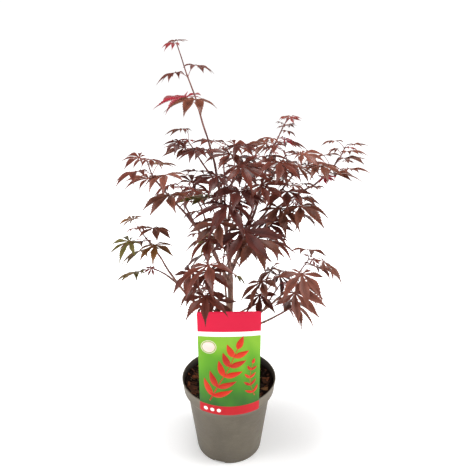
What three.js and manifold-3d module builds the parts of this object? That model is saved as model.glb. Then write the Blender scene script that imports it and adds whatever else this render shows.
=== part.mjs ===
// A young Japanese maple in a nursery pot: trunk, boughs and masses of red leaves, with the soil
// and a care card hooked over the rim. Millimetres, +Z up, and the front faces -Y.
// The origin is the centre of the pot's underside.
// A heading is an angle seen from above: 0 is right (+X), 90 the back (+Y), -90 the front.
// A rise is an angle above the level. A pair of numbers is a range that a seeded draw falls in.

import * as THREE from 'three';
import { mergeVertices } from 'three/addons/utils/BufferGeometryUtils.js';
import Module from 'manifold-3d';

const wasm = await Module();
wasm.setup();

// Air between pieces that touch
const gap = 0.35;

const colours = { pot: 0x6e675c, soil: 0x2a1c16, card: 0xd8302e, bark: 0x5b463c, leaves: 0x5a2224 };

// Pot
const potHeight = 148;
const potRimRadius = 85;
const potFootRadius = 60.5;
const potWall = 2;
const potSides = 32;
const collarDrop = 22;
const collarRadius = 82.5;
const shoulderDrop = 32;
const shoulderRadius = 75;
const lipHeight = 2.5;
const rimRound = 0.6;
const footRound = 2.5;
const footRingInner = 50;
const centreDiscRadius = 38;
const channelHeight = 3.5;
const channelDraft = 1;
const floorThickness = 2.2;
const footNotchWidth = 20;
const footNotchDepth = 12;
const footNotchHeading = -107;
const footNotchCount = 3;
const drainHoleRadius = 4;
const drainHoleCount = 6;
const drainHoleSides = 10;

// Soil
const soilTop = 128;
const soilEdgeTop = 138;
const soilMiddleRadius = 34;
const soilSlopeRadius = 62;
const soilSlopeRise = 1.5;

// Care card
const cardWidth = 100;
const cardHeight = 196;
const cardBottom = 130;
const cardTop = cardBottom + cardHeight;
const cardThickness = 0.8;
const cardMiddle = 2;
const cardFlatFrom = 150;
const cardAcross = 6;
const cardRows = 5;
const cardRoom = 5;
const tongueWidth = 18;
const tongueDepth = 8;
const tongueRise = 9;
const tongueRoot = 2;

// Trunk and boughs
const trunk = { heading: 0, rise: 90, climb: -1.5, length: 211, foot: 6, tip: 4.7 };
const trunkFlareRadius = 10.5;
const trunkFlareHeight = 26;
const trunkSides = 8;
const trunkSeed = 5;
const boughTip = 1.6;
const boughTaper = 0.0068;
const boughSides = 5;
const boughSeeds = 20;
const limbStep = 20;
const headingKink = [-7, 7];
const riseKink = [-3.5, 3.5];

// Twigs
const twigSides = 3;
const twigTipRadius = 1.1;
const twigSpread = [40, 55];
const twigShare = [0.7, 1];
const twigClimb = 10;
const twigLowestRise = -10;
const twigLeafShare = 0.9;
const stemSeeds = 100;

// Leaves: sizes are from the heart to the tip of the middle lobe
const leafThickness = 1.2;
const leafSizes = [0.88, 1.12];
const petioleRadius = 0.95;
const petioleShare = [0.45, 0.75];
const petioleSpread = [40, 62];
const petioleWander = [-25, 25];
const petioleTurn = 0.8;
const outwardPull = 0.3;
const bladeWander = [-15, 15];
const bladeTilt = [-22, 22];
const bladeDroop = [-8, 14];
const bladeArch = [0.04, 0.26];
const lowLeaves = 300;
const highLeaves = 540;
const lowLeafDroop = 30;

// Lobes of a leaf: angle from the middle lobe, and length and half width as shares of the leaf
const lobes = [
  { angle: -76, length: 0.7, half: 0.1 },
  { angle: -38, length: 0.93, half: 0.125 },
  { angle: 0, length: 1, half: 0.13 },
  { angle: 38, length: 0.93, half: 0.125 },
  { angle: 76, length: 0.7, half: 0.1 },
];
const basalAngle = 118;
const basalLength = 0.36;
const shoulderShare = 0.48;
const sinusShare = 0.23;
const outerSinusShare = 0.184;
const notchShare = 0.06;
const leafCrease = 0.28;
const petioleCorners = [{ right: -0.87, top: 0.5 }, { right: 0.87, top: 0.5 }, { right: 0, top: -1 }];

// Room that leaves keep: beads along limbs and lobes, and the space round the card and the ground
const beadStep = 4;
const beadGap = 1.8;
const heartBead = 0.12;
const lobeBeads = [
  { share: 0.3, wide: 0.9 },
  { share: 0.5, wide: 0.9 },
  { share: 0.7, wide: 0.7 },
  { share: 0.87, wide: 0.36 },
  { share: 1, wide: 0.1 },
];
const basalBeads = [{ share: 0.55, wide: 0.06 }, { share: 0.95, wide: 0.015 }];
const tries = 10;
const leavesLowest = 262;

// Boughs: what each stands on and how far along it, its heading and rise at the foot, its length,
// and how far heading (turn) and rise (climb) change along it
const boughs = [
  { name: 'leader', on: 'trunk', at: 211, heading: 165, rise: 88, length: 242, climb: -15, foot: 4 },
  { name: 'left', on: 'trunk', at: 200, heading: -157, rise: 68, length: 200, climb: -18 },
  { name: 'low_left', on: 'trunk', at: 116, heading: -157, rise: 42, length: 195, climb: 24 },
  { name: 'low_right', on: 'trunk', at: 112, heading: -32, rise: 36, length: 166, turn: 10, climb: 24 },
  { name: 'low_front', on: 'trunk', at: 100, heading: -47, rise: 38, length: 134, turn: 10, climb: 2 },
  { name: 'right', on: 'leader', at: 12, heading: 25, rise: 62, length: 210, climb: 16 },
  { name: 'right_middle', on: 'right', at: 44, heading: 10, rise: 58, length: 140, climb: -6 },
  { name: 'right_outer', on: 'right', at: 66, heading: -28, rise: 52, length: 152, turn: 14, climb: -24 },
  { name: 'right_low', on: 'right', at: 26, heading: -10, rise: 48, length: 98, climb: 6 },
  { name: 'right_upper', on: 'right', at: 132, heading: -60, rise: 50, length: 66 },
  { name: 'centre', on: 'leader', at: 96, heading: -25, rise: 60, length: 40 },
  { name: 'centre_front', on: 'leader', at: 72, heading: -72, rise: 50, length: 56 },
  { name: 'centre_top', on: 'leader', at: 146, heading: -12, rise: 50, length: 46 },
  { name: 'upper_left', on: 'leader', at: 162, heading: -145, rise: 56, length: 34 },
  { name: 'left_inner', on: 'left', at: 126, heading: -150, rise: 66, length: 40 },
  { name: 'low_left_inner', on: 'low_left', at: 84, heading: -60, rise: 58, length: 48 },
  { name: 'low_left_outer', on: 'low_left', at: 140, heading: 178, rise: 40, length: 24 },
  { name: 'low', on: 'trunk', at: 138, heading: -24, rise: 38, length: 52 },
  { name: 'low_near', on: 'trunk', at: 128, heading: -150, rise: 46, length: 46 },
  { name: 'front', on: 'trunk', at: 200, heading: -93, rise: 58, length: 86 },
  { name: 'front_right', on: 'leader', at: 22, heading: -52, rise: 52, length: 74 },
  { name: 'front_upper', on: 'leader', at: 50, heading: -104, rise: 52, length: 44 },
  { name: 'low_right_inner', on: 'low_right', at: 92, heading: -8, rise: 66, length: 26 },
  { name: 'back', on: 'leader', at: 34, heading: 96, rise: 48, length: 160, climb: 8 },
  { name: 'back_right', on: 'right', at: 30, heading: 66, rise: 48, length: 150, turn: -8, climb: 8 },
  { name: 'back_left', on: 'trunk', at: 190, heading: 130, rise: 54, length: 150, climb: 8 },
  { name: 'back_upper', on: 'leader', at: 84, heading: 78, rise: 56, length: 76 },
  { name: 'low_back', on: 'trunk', at: 128, heading: 100, rise: 36, length: 110, climb: 10 },
];

// Masses of leaves, one at each bough's tip: the stem's heading, rise and length, its pairs of
// leaves, how many of them stand on side twigs (forks), how far the first pair is turned round the
// stem (roll), the sizes of the first and last leaves, and the seed. A search outside this file,
// which compared outlines with the photo's, chose pairs, forks, roll, sizes and seed and wrote these
// rows. Headings, rises, lengths, turns and climbs are chosen by hand.
const masses = [
  {
    on: 'leader', heading: 178, rise: 72, length: 140, turn: 6, climb: 2,
    pairs: 3, roll: 60, sizes: [53, 21], seed: 393,
  },
  {
    on: 'left', heading: -160, rise: 54, length: 60, turn: 30, climb: 22,
    pairs: 3, roll: 60, sizes: [47, 30], seed: 5,
  },
  {
    on: 'right_outer', heading: -20, rise: 46, length: 72, turn: 80, climb: 14,
    pairs: 4, roll: -35, sizes: [46, 25], seed: 407,
  },
  {
    on: 'low_left', heading: -163, rise: 60, length: 62,
    pairs: 3, roll: 80, sizes: [46, 33], seed: 968,
  },
  {
    on: 'low_right', heading: -10, rise: 60, length: 50,
    pairs: 2, roll: -60, sizes: [55, 40], seed: 147,
  },
  {
    on: 'low_front', heading: -28, rise: 40, length: 26,
    pairs: 3, roll: -10, sizes: [61, 51], seed: 326,
  },
  { on: 'right', heading: 16, rise: 62, length: 60, pairs: 3, roll: -10, sizes: [26, 13], seed: 783 },
  {
    on: 'right_middle', heading: 0, rise: 58, length: 30,
    pairs: 3, forks: 1, roll: 35, sizes: [54, 43], seed: 53,
  },
  {
    on: 'right_upper', heading: -40, rise: 56, length: 40,
    pairs: 2, roll: 80, sizes: [46, 38], seed: 381,
  },
  {
    on: 'right_low', heading: -10, rise: 50, length: 40,
    pairs: 3, roll: -35, sizes: [56, 48], seed: 787,
  },
  {
    on: 'centre', heading: -40, rise: 62, length: 52, turn: -40,
    pairs: 3, forks: 1, roll: -60, sizes: [56, 47], seed: 57,
  },
  {
    on: 'centre_front', heading: -60, rise: 56, length: 34,
    pairs: 3, roll: 10, sizes: [66, 56], seed: 940,
  },
  {
    on: 'centre_top', heading: 0, rise: 56, length: 34,
    pairs: 3, roll: -10, sizes: [53, 44], seed: 578,
  },
  {
    on: 'upper_left', heading: -150, rise: 56, length: 60,
    pairs: 3, roll: -10, sizes: [45, 35], seed: 302,
  },
  {
    on: 'left_inner', heading: -110, rise: 70, length: 36,
    pairs: 2, roll: 10, sizes: [50, 42], seed: 68,
  },
  {
    on: 'low_left_inner', heading: -75, rise: 50, length: 30,
    pairs: 2, roll: 35, sizes: [56, 50], seed: 995,
  },
  {
    on: 'low_left_outer', heading: 178, rise: 30, length: 24,
    pairs: 1, roll: -10, sizes: [46, 44], seed: 850,
  },
  {
    on: 'low', heading: -24, rise: 38, length: 26,
    pairs: 2, forks: 1, roll: 60, sizes: [54, 47], seed: 461,
  },
  {
    on: 'low_near', heading: -150, rise: 40, length: 26,
    pairs: 3, roll: 35, sizes: [46, 42], seed: 532,
  },
  {
    on: 'front', heading: -93, rise: 58, length: 44,
    pairs: 3, forks: 1, roll: -10, sizes: [63, 59], seed: 496,
  },
  {
    on: 'front_right', heading: -50, rise: 50, length: 36,
    pairs: 3, roll: -35, sizes: [59, 52], seed: 155,
  },
  {
    on: 'front_upper', heading: -104, rise: 52, length: 40,
    pairs: 3, forks: 1, roll: -35, sizes: [50, 44], seed: 272,
  },
  {
    on: 'low_right_inner', heading: -8, rise: 60, length: 30,
    pairs: 2, forks: 1, roll: -60, sizes: [54, 49], seed: 832,
  },
  { on: 'back', heading: 96, rise: 56, length: 50, pairs: 3, roll: 80, sizes: [58, 47], seed: 49 },
  {
    on: 'back_right', heading: 58, rise: 52, length: 50,
    pairs: 3, roll: -60, sizes: [53, 43], seed: 851,
  },
  {
    on: 'back_left', heading: 142, rise: 54, length: 50,
    pairs: 2, roll: 10, sizes: [55, 45], seed: 793,
  },
  {
    on: 'back_upper', heading: 78, rise: 56, length: 50,
    pairs: 2, roll: -10, sizes: [55, 44], seed: 27,
  },
  { on: 'low_back', heading: 82, rise: 46, length: 40, pairs: 2, roll: -60, sizes: [59, 51], seed: 88 },
];

const degree = Math.PI / 180;

// A seeded stream of numbers from 0 to 1
function stream(seed) {
  let state = seed * 7919;
  return () => {
    state = (Math.imul(state, 1664525) + 1013904223) >>> 0;
    return state / 4294967296;
  };
}

function draw(random, [least, most]) {
  return least + random() * (most - least);
}

// Directions of a heading and rise: along, to the right hand, and the top side
function along(heading, rise) {
  const level = Math.cos(rise * degree);
  return new THREE.Vector3(
    Math.cos(heading * degree) * level,
    Math.sin(heading * degree) * level,
    Math.sin(rise * degree),
  );
}

function rightOf(heading) {
  return new THREE.Vector3(Math.sin(heading * degree), -Math.cos(heading * degree), 0);
}

function topOf(heading, rise) {
  return rightOf(heading).cross(along(heading, rise));
}

// The direction that leaves a node at an angle to its twig, turned round the twig by roll
function sideways(node, spread, roll) {
  const way = along(node.heading, node.rise).multiplyScalar(Math.cos(spread * degree));
  const aside = Math.sin(spread * degree);
  way.addScaledVector(rightOf(node.heading), Math.cos(roll * degree) * aside);
  return way.addScaledVector(topOf(node.heading, node.rise), Math.sin(roll * degree) * aside);
}

// A limb's stations, from its foot to its tip, with a small seeded kink at each but the ends
function walk(limb, start, random, joined = limb) {
  const { turn = 0, climb = 0 } = limb;
  const count = Math.max(2, Math.round(limb.length / limbStep));
  const stations = [];
  const point = start.clone();
  for (let i = 0; i <= count; i += 1) {
    const share = i / count;
    const bent = i === 0 || i === count ? 0 : 1;
    const heading = limb.heading + turn * share + draw(random, headingKink) * bent;
    const rise = limb.rise + climb * share + draw(random, riseKink) * bent;
    const radius = THREE.MathUtils.lerp(limb.foot, limb.tip, share);
    const ring = i === 0 ? joined : { heading, rise };
    stations.push({ point: point.clone(), heading: ring.heading, rise: ring.rise, radius });
    point.addScaledVector(along(heading, rise), limb.length / count);
  }
  return stations;
}

// The place, heading, rise and radius at a distance along a limb, at most its length
function stationAt(stations, distance) {
  let index = 1;
  let left = distance;
  const span = stations[0].point.distanceTo(stations[1].point);
  while (left > span && index < stations.length - 1) {
    left -= span;
    index += 1;
  }
  const from = stations[index - 1];
  const to = stations[index];
  const share = Math.min(1, left / span);
  return {
    point: from.point.clone().lerp(to.point, share),
    heading: THREE.MathUtils.lerp(from.heading, to.heading, share),
    rise: THREE.MathUtils.lerp(from.rise, to.rise, share),
    radius: THREE.MathUtils.lerp(from.radius, to.radius, share),
  };
}

// A closed round bar through the stations, wider by extra all over
function tube(stations, sides, extra = 0) {
  const profile = [new THREE.Vector2(0, 0)];
  stations.forEach((station, i) => profile.push(new THREE.Vector2(station.radius + extra, i)));
  profile.push(new THREE.Vector2(0, stations.length - 1));
  const geometry = new THREE.LatheGeometry(profile, sides);
  const position = geometry.getAttribute('position');
  for (let i = 0; i < position.count; i += 1) {
    const { point, heading, rise } = stations[Math.round(position.getY(i))];
    const place = point.clone();
    place.addScaledVector(rightOf(heading), position.getX(i));
    place.addScaledVector(topOf(heading, rise), position.getZ(i));
    position.setXYZ(i, place.x, place.y, place.z);
  }
  return geometry;
}

// A closed geometry as a solid, its shared corners merged and flat triangles dropped
function solidOf(geometry) {
  const bare = new THREE.BufferGeometry();
  bare.setAttribute('position', geometry.getAttribute('position'));
  bare.setIndex(geometry.index);
  const merged = mergeVertices(bare, 1e-4);
  const kept = [];
  for (let i = 0; i < merged.index.count; i += 3) {
    const [a, b, c] = [0, 1, 2].map((corner) => merged.index.getX(i + corner));
    if (a !== b && b !== c && c !== a) kept.push(a, b, c);
  }
  return new wasm.Manifold(new wasm.Mesh({
    numProp: 3,
    vertProperties: new Float32Array(merged.getAttribute('position').array),
    triVerts: new Uint32Array(kept),
  }));
}

// The largest body of a solid: loose scraps and sealed hollows are dropped
function largest(solid) {
  const bodies = solid.decompose();
  return bodies.reduce((best, body) => (body.volume() > best.volume() ? body : best));
}

function geometryOf(solid) {
  const { vertProperties, triVerts } = solid.getMesh();
  const geometry = new THREE.BufferGeometry();
  geometry.setAttribute('position', new THREE.BufferAttribute(new Float32Array(vertProperties), 3));
  geometry.setIndex(new THREE.BufferAttribute(new Uint32Array(triVerts), 1));
  geometry.computeVertexNormals();
  return geometry;
}

const group = new THREE.Group();

function addPiece(name, solid, color, roughness) {
  const material = new THREE.MeshStandardMaterial({ color, roughness, metalness: 0, flatShading: true });
  const mesh = new THREE.Mesh(geometryOf(solid), material);
  mesh.name = name;
  group.add(mesh);
}

function lathe(points) {
  const profile = points.map(([radius, height]) => new THREE.Vector2(radius, height));
  const geometry = new THREE.LatheGeometry(profile, potSides);
  geometry.rotateX(Math.PI / 2);
  return solidOf(geometry);
}

// Pot: a foot ring and a centre disc on the ground, a raised channel with drain holes between them,
// a tapering body, a shoulder and a near-vertical collar
function makePot() {
  const shoulderHeight = potHeight - shoulderDrop;
  const collarHeight = potHeight - collarDrop;
  const floorTop = channelHeight + floorThickness;
  let pot = lathe([
    [0, 0],
    [centreDiscRadius, 0],
    [centreDiscRadius + channelDraft, channelHeight],
    [footRingInner - channelDraft, channelHeight],
    [footRingInner, 0],
    [potFootRadius - footRound, 0],
    [potFootRadius - footRound / 4, footRound / 2],
    [potFootRadius, footRound],
    [shoulderRadius, shoulderHeight],
    [collarRadius, collarHeight],
    [potRimRadius - rimRound, potHeight - lipHeight],
    [potRimRadius, potHeight - rimRound],
    [potRimRadius - rimRound, potHeight],
    [potRimRadius - potWall, potHeight],
    [collarRadius - potWall, collarHeight],
    [shoulderRadius - potWall, shoulderHeight],
    [potFootRadius - potWall, floorTop],
    [centreDiscRadius - channelDraft, floorTop],
    [centreDiscRadius - channelDraft * 2, floorThickness],
    [0, floorThickness],
  ]);
  for (let i = 0; i < footNotchCount; i += 1) {
    const heading = footNotchHeading + (360 / footNotchCount) * i;
    const notch = new THREE.BoxGeometry(footNotchDepth * 2, footNotchWidth, channelHeight * 2);
    notch.translate(potFootRadius, 0, 0);
    notch.rotateZ(heading * degree);
    pot = pot.subtract(solidOf(notch));
  }
  for (let i = 0; i < drainHoleCount; i += 1) {
    const heading = footNotchHeading + (360 / drainHoleCount) * (i + 0.5);
    const hole = new THREE.CylinderGeometry(drainHoleRadius, drainHoleRadius, floorTop * 3, drainHoleSides);
    hole.rotateX(Math.PI / 2);
    hole.translate((centreDiscRadius + footRingInner) / 2, 0, 0);
    hole.rotateZ(heading * degree);
    pot = pot.subtract(solidOf(hole));
  }
  addPiece('pot', pot, colours.pot, 0.65);
}

// Soil: fills the pot, level round the trunk and heaped up against the wall
function makeSoil() {
  const clear = potWall + gap;
  const shoulderHeight = potHeight - shoulderDrop;
  const collarHeight = potHeight - collarDrop;
  const floorTop = channelHeight + floorThickness + gap;
  const edgeShare = (soilEdgeTop - collarHeight) / collarDrop;
  const soil = lathe([
    [0, floorThickness + gap],
    [centreDiscRadius - channelDraft * 2 - gap, floorThickness + gap],
    [centreDiscRadius - channelDraft - gap, floorTop],
    [potFootRadius - clear, floorTop],
    [shoulderRadius - clear, shoulderHeight],
    [collarRadius - clear, collarHeight],
    [THREE.MathUtils.lerp(collarRadius, potRimRadius, edgeShare) - clear, soilEdgeTop],
    [soilSlopeRadius, soilTop + soilSlopeRise],
    [soilMiddleRadius, soilTop],
    [0, soilTop],
  ]);
  addPiece('soil', soil, colours.soil, 1);
}

// Care card: flat at the top, bent round the collar below, with a tongue hooked over the rim
function makeCard() {
  const plate = new THREE.BoxGeometry(cardWidth, cardThickness, cardHeight, cardAcross, 1, cardRows);
  plate.translate(0, 0, cardBottom + cardHeight / 2);
  const position = plate.getAttribute('position');
  const chordDip = (cardWidth / cardAcross) ** 2 / (8 * potRimRadius);
  const nearest = potRimRadius + gap + chordDip + cardThickness / 2;
  for (let i = 0; i < position.count; i += 1) {
    const x = position.getX(i);
    const z = position.getZ(i);
    const flat = THREE.MathUtils.clamp((z - cardFlatFrom) / (cardTop - cardFlatFrom), 0, 1);
    const sagitta = nearest - Math.sqrt(nearest * nearest - x * x);
    position.setXYZ(i, x, position.getY(i) - nearest + sagitta * (1 - flat), z);
  }
  const facetDip = (tongueWidth / 2) * Math.tan(Math.PI / potSides);
  const inner = potWall + gap + facetDip - potRimRadius;
  const innerLow = inner + ((potRimRadius - collarRadius) * tongueDepth) / collarDrop;
  const over = potHeight + gap;
  const under = potHeight - tongueDepth;
  const outline = new THREE.Shape();
  outline.moveTo(-nearest, over + tongueRise);
  outline.lineTo(-nearest, over + tongueRise - tongueRoot);
  outline.lineTo(inner, over);
  outline.lineTo(innerLow, under);
  outline.lineTo(innerLow + cardThickness, under);
  outline.lineTo(inner + cardThickness, over + cardThickness);
  outline.closePath();
  const tongue = new THREE.ExtrudeGeometry(outline, { depth: tongueWidth, bevelEnabled: false });
  tongue.translate(0, 0, -tongueWidth / 2);
  tongue.rotateX(Math.PI / 2);
  tongue.rotateZ(Math.PI / 2);
  const card = solidOf(plate).add(solidOf(tongue));
  const heading = Math.asin(cardMiddle / potRimRadius) / degree;
  addPiece('card', card.rotate([0, 0, heading]), colours.card, 0.4);
}

// Beads along a limb: the room that it takes, for keeping leaves clear of it
function limbBeads(stations, owner) {
  const beads = [];
  const length = (stations.length - 1) * stations[0].point.distanceTo(stations[1].point);
  const count = Math.ceil(length / beadStep);
  for (let i = 0; i <= count; i += 1) {
    const { point, radius } = stationAt(stations, (length * i) / count);
    beads.push({ point, radius, owner });
  }
  return beads;
}

const ways = {};
const limbSolids = [];
const taken = [];

// Cuts a limb clear of those that it springs from, and keeps it as a piece
function addLimb(name, stations, sides) {
  let solid = solidOf(tube(stations, sides));
  limbSolids.forEach((other) => {
    solid = solid.subtract(other);
  });
  limbSolids.push(solidOf(tube(stations, sides, gap)));
  addPiece(name, largest(solid), colours.bark, 0.85);
}

function makeTrunk() {
  const stations = walk(trunk, new THREE.Vector3(0, 0, soilTop + gap), stream(trunkSeed));
  const flared = [0, 0.25, 0.6].map((share) => {
    const station = stationAt(stations, trunkFlareHeight * share);
    station.radius = trunk.foot + (trunkFlareRadius - trunk.foot) * (1 - share) ** 2;
    return station;
  });
  ways.trunk = stations;
  taken.push(...limbBeads(stations, 'trunk'));
  addLimb('trunk', [...flared, ...stations.slice(2)], trunkSides);
}

// A bough springs from inside its parent, or stands clear of the trunk's flat top
function makeBough(bough, index) {
  const parent = ways[bough.on];
  const start = stationAt(parent, bough.at);
  const onTop = bough.on === 'trunk' && bough.at === trunk.length;
  if (onTop) start.point.addScaledVector(along(start.heading, start.rise), gap);
  const foot = bough.foot ?? boughTip + bough.length * boughTaper;
  const stations = walk({ ...bough, foot, tip: boughTip }, start.point, stream(index + boughSeeds));
  ways[bough.name] = stations;
  taken.push(...limbBeads(stations, bough.name));
  addLimb(`bough_${bough.name}`, stations, boughSides);
}

// A leaf from a node on a twig: two lengths of petiole, then the blade's own directions
function placeLeaf(node, roll, size, random) {
  const spread = draw(random, petioleSpread);
  const length = size * draw(random, petioleShare);
  const first = sideways(node, spread, roll + draw(random, petioleWander));
  const outward = new THREE.Vector3(node.point.x, node.point.y, 0).normalize();
  const level = new THREE.Vector3(first.x, first.y, 0).addScaledVector(outward, outwardPull);
  const heading = Math.atan2(level.y, level.x) / degree + draw(random, bladeWander);
  const depth = (highLeaves - node.point.z) / (highLeaves - lowLeaves);
  const sag = lowLeafDroop * Math.max(0, depth);
  const droop = sag + draw(random, bladeDroop);
  const forward = along(heading, -droop);
  const tilt = draw(random, bladeTilt) * degree;
  const side = rightOf(heading).multiplyScalar(Math.cos(tilt));
  side.addScaledVector(topOf(heading, -droop), Math.sin(tilt));
  const face = side.clone().cross(forward);
  const knee = node.point.clone().addScaledVector(first, length / 2);
  const second = first.clone().addScaledVector(forward, petioleTurn).normalize();
  const heart = knee.clone().addScaledVector(second, length / 2);
  return { foot: node.point, knee, heart, forward, side, face, size, arch: draw(random, bladeArch) };
}

// A point of the blade, at a distance from the heart and an angle from the middle lobe, and to one
// side of that line: blades arch down towards their tips and their lobes are creased upwards
function bladePoint(leaf, angle, distance, aside = 0, lift = 0) {
  const u = Math.cos(angle * degree) * distance - Math.sin(angle * degree) * aside;
  const v = Math.sin(angle * degree) * distance + Math.cos(angle * degree) * aside;
  const drop = (leaf.arch * (u * u + v * v)) / leaf.size;
  const point = leaf.heart.clone().addScaledVector(leaf.forward, u).addScaledVector(leaf.side, v);
  return point.addScaledVector(leaf.face, Math.abs(aside) * leafCrease - drop + lift);
}

function petioleBeads(leaf, owner) {
  const beads = [];
  [[leaf.foot, leaf.knee], [leaf.knee, leaf.heart]].forEach(([from, to]) => {
    const count = Math.ceil(from.distanceTo(to) / beadStep);
    for (let i = 1; i <= count; i += 1) {
      beads.push({ point: from.clone().lerp(to, i / count), radius: petioleRadius, owner });
    }
  });
  return beads;
}

function bladeBeads(leaf, owner) {
  const beads = [{ point: leaf.heart, radius: leaf.size * heartBead, owner }];
  lobes.forEach(({ angle, length, half }) => {
    lobeBeads.forEach(({ share, wide }) => {
      const point = bladePoint(leaf, angle, length * leaf.size * share);
      beads.push({ point, radius: half * leaf.size * wide, owner });
    });
  });
  [-basalAngle, basalAngle].forEach((angle) => {
    basalBeads.forEach(({ share, wide }) => {
      const point = bladePoint(leaf, angle, basalLength * leaf.size * share);
      beads.push({ point, radius: leaf.size * wide, owner });
    });
  });
  return beads;
}

function meets(beads, owner, ownToo) {
  return beads.some((bead) => taken.some((other) => {
    if (other.owner === owner && !ownToo) return false;
    const reach = bead.radius + other.radius + beadGap;
    return bead.point.distanceToSquared(other.point) < reach * reach;
  }));
}

// Whether beads hang too low, or behind, against or in front of the card
function hangsLow(beads) {
  return beads.some(({ point, radius }) => {
    const room = cardRoom + radius;
    const beforeCard = point.y < room - potRimRadius && Math.abs(point.x) < cardWidth / 2 + room;
    return point.z < leavesLowest || (beforeCard && point.z < cardTop + room);
  });
}

// A leaf as one closed solid: a three-cornered petiole that opens into a thin blade. The blade's
// edge is one line of corners, and its heart and midribs stand apart by its thickness
function leafSolid(leaf) {
  const { size, side, face } = leaf;
  const corners = [];
  const faces = [];
  const half = leafThickness / 2;
  const add = (point) => corners.push(point.x, point.y, point.z) / 3 - 1;
  const rim = (angle, share) => add(bladePoint(leaf, angle, share * size));
  const heartTop = add(bladePoint(leaf, 0, 0, 0, half));
  const heartUnder = add(bladePoint(leaf, 0, 0, 0, -half));
  const toHeart = (a, b) => faces.push(heartTop, b, a, heartUnder, a, b);
  const ringAt = (point, way, highest) => {
    const across = side.clone().addScaledVector(way, -side.dot(way)).normalize();
    const up = across.clone().cross(way);
    return petioleCorners.map(({ right, top }) => {
      const corner = point.clone().addScaledVector(across, right * petioleRadius);
      return add(corner.addScaledVector(up, Math.min(top, highest) * petioleRadius));
    });
  };
  const first = leaf.knee.clone().sub(leaf.foot).normalize();
  const second = leaf.heart.clone().sub(leaf.knee).normalize();
  const foot = ringAt(leaf.foot, first, 1);
  const knee = ringAt(leaf.knee, first.add(second).normalize(), 1);
  const mouth = ringAt(bladePoint(leaf, 180, notchShare * size), side.clone().cross(face).negate(), 0);
  faces.push(foot[1], foot[0], foot[2]);
  [[foot, knee], [knee, mouth]].forEach(([near, far]) => {
    for (let i = 0; i < 3; i += 1) {
      const next = (i + 1) % 3;
      faces.push(far[next], far[i], near[i], far[next], near[i], near[next]);
    }
  });
  faces.push(heartTop, mouth[0], mouth[1], heartUnder, mouth[1], mouth[2], heartUnder, mouth[2], mouth[0]);
  const firstBasal = rim(-basalAngle, basalLength);
  const lastBasal = rim(basalAngle, basalLength);
  let sinus = rim((lobes[0].angle - basalAngle) / 2, outerSinusShare);
  toHeart(mouth[0], firstBasal);
  toHeart(firstBasal, sinus);
  lobes.forEach((lobe, i) => {
    const isLast = i === lobes.length - 1;
    const nextAngle = isLast ? basalAngle : lobes[i + 1].angle;
    const shoulder = lobe.length * shoulderShare * size;
    const near = add(bladePoint(leaf, lobe.angle, shoulder, -lobe.half * size));
    const tip = rim(lobe.angle, lobe.length);
    const far = add(bladePoint(leaf, lobe.angle, shoulder, lobe.half * size));
    const next = rim((lobe.angle + nextAngle) / 2, isLast ? outerSinusShare : sinusShare);
    const ribTop = add(bladePoint(leaf, lobe.angle, shoulder, 0, half));
    const ribUnder = add(bladePoint(leaf, lobe.angle, shoulder, 0, -half));
    const edge = [sinus, near, tip, far, next];
    edge.slice(1).forEach((corner, k) => {
      faces.push(ribTop, corner, edge[k], ribUnder, edge[k], corner);
    });
    faces.push(ribTop, heartTop, next, ribUnder, next, heartUnder);
    faces.push(ribTop, sinus, heartTop, ribUnder, heartUnder, sinus);
    sinus = next;
  });
  toHeart(sinus, lastBasal);
  toHeart(lastBasal, mouth[1]);
  const geometry = new THREE.BufferGeometry();
  geometry.setAttribute('position', new THREE.Float32BufferAttribute(corners, 3));
  geometry.setIndex(faces);
  return solidOf(geometry);
}

// The stems of all masses are laid first, so that leaves keep clear of every one
function layStem(mass, index) {
  const bough = ways[mass.on];
  const name = `leaves_${mass.on}`;
  const end = bough[bough.length - 1];
  const limb = { ...mass, foot: end.radius, tip: twigTipRadius };
  const start = end.point.clone().addScaledVector(along(end.heading, end.rise), gap);
  ways[name] = walk(limb, start, stream(index + stemSeeds), end);
  taken.push(...limbBeads(ways[name], name));
}

// One leaf at a node, drawn again until it is clear of all that has been laid, or left out
function growLeaf(mass, node, roll, size) {
  for (let attempt = 0; attempt < tries; attempt += 1) {
    const leaf = placeLeaf(node, roll, size * draw(mass.random, leafSizes), mass.random);
    const petiole = petioleBeads(leaf, mass.owner);
    const blade = bladeBeads(leaf, mass.owner);
    if (!hangsLow(blade) && !meets(petiole, mass.owner, false) && !meets(blade, mass.owner, true)) {
      taken.push(...petiole, ...blade);
      mass.solids.push(leafSolid(leaf));
      return;
    }
  }
}

// A side twig with a pair of leaves at its tip, or a single leaf where the twig has no room
function growSideTwig(mass, node, roll, size) {
  const way = sideways(node, draw(mass.random, twigSpread), roll);
  const limb = {
    heading: Math.atan2(way.y, way.x) / degree,
    rise: Math.max(twigLowestRise, Math.asin(way.z) / degree),
    climb: twigClimb,
    length: size * draw(mass.random, twigShare),
    foot: twigTipRadius,
    tip: twigTipRadius,
  };
  const twig = walk(limb, node.point, mass.random);
  const beads = limbBeads(twig, mass.owner);
  if (hangsLow(beads) || meets(beads, mass.owner, false)) {
    growLeaf(mass, node, roll, size);
    return;
  }
  taken.push(...beads);
  mass.solids.push(solidOf(tube(twig, twigSides)));
  const tip = stationAt(twig, limb.length - twigTipRadius);
  growLeaf(mass, tip, roll + 90, size * twigLeafShare);
  growLeaf(mass, tip, roll - 90, size * twigLeafShare);
}

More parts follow.
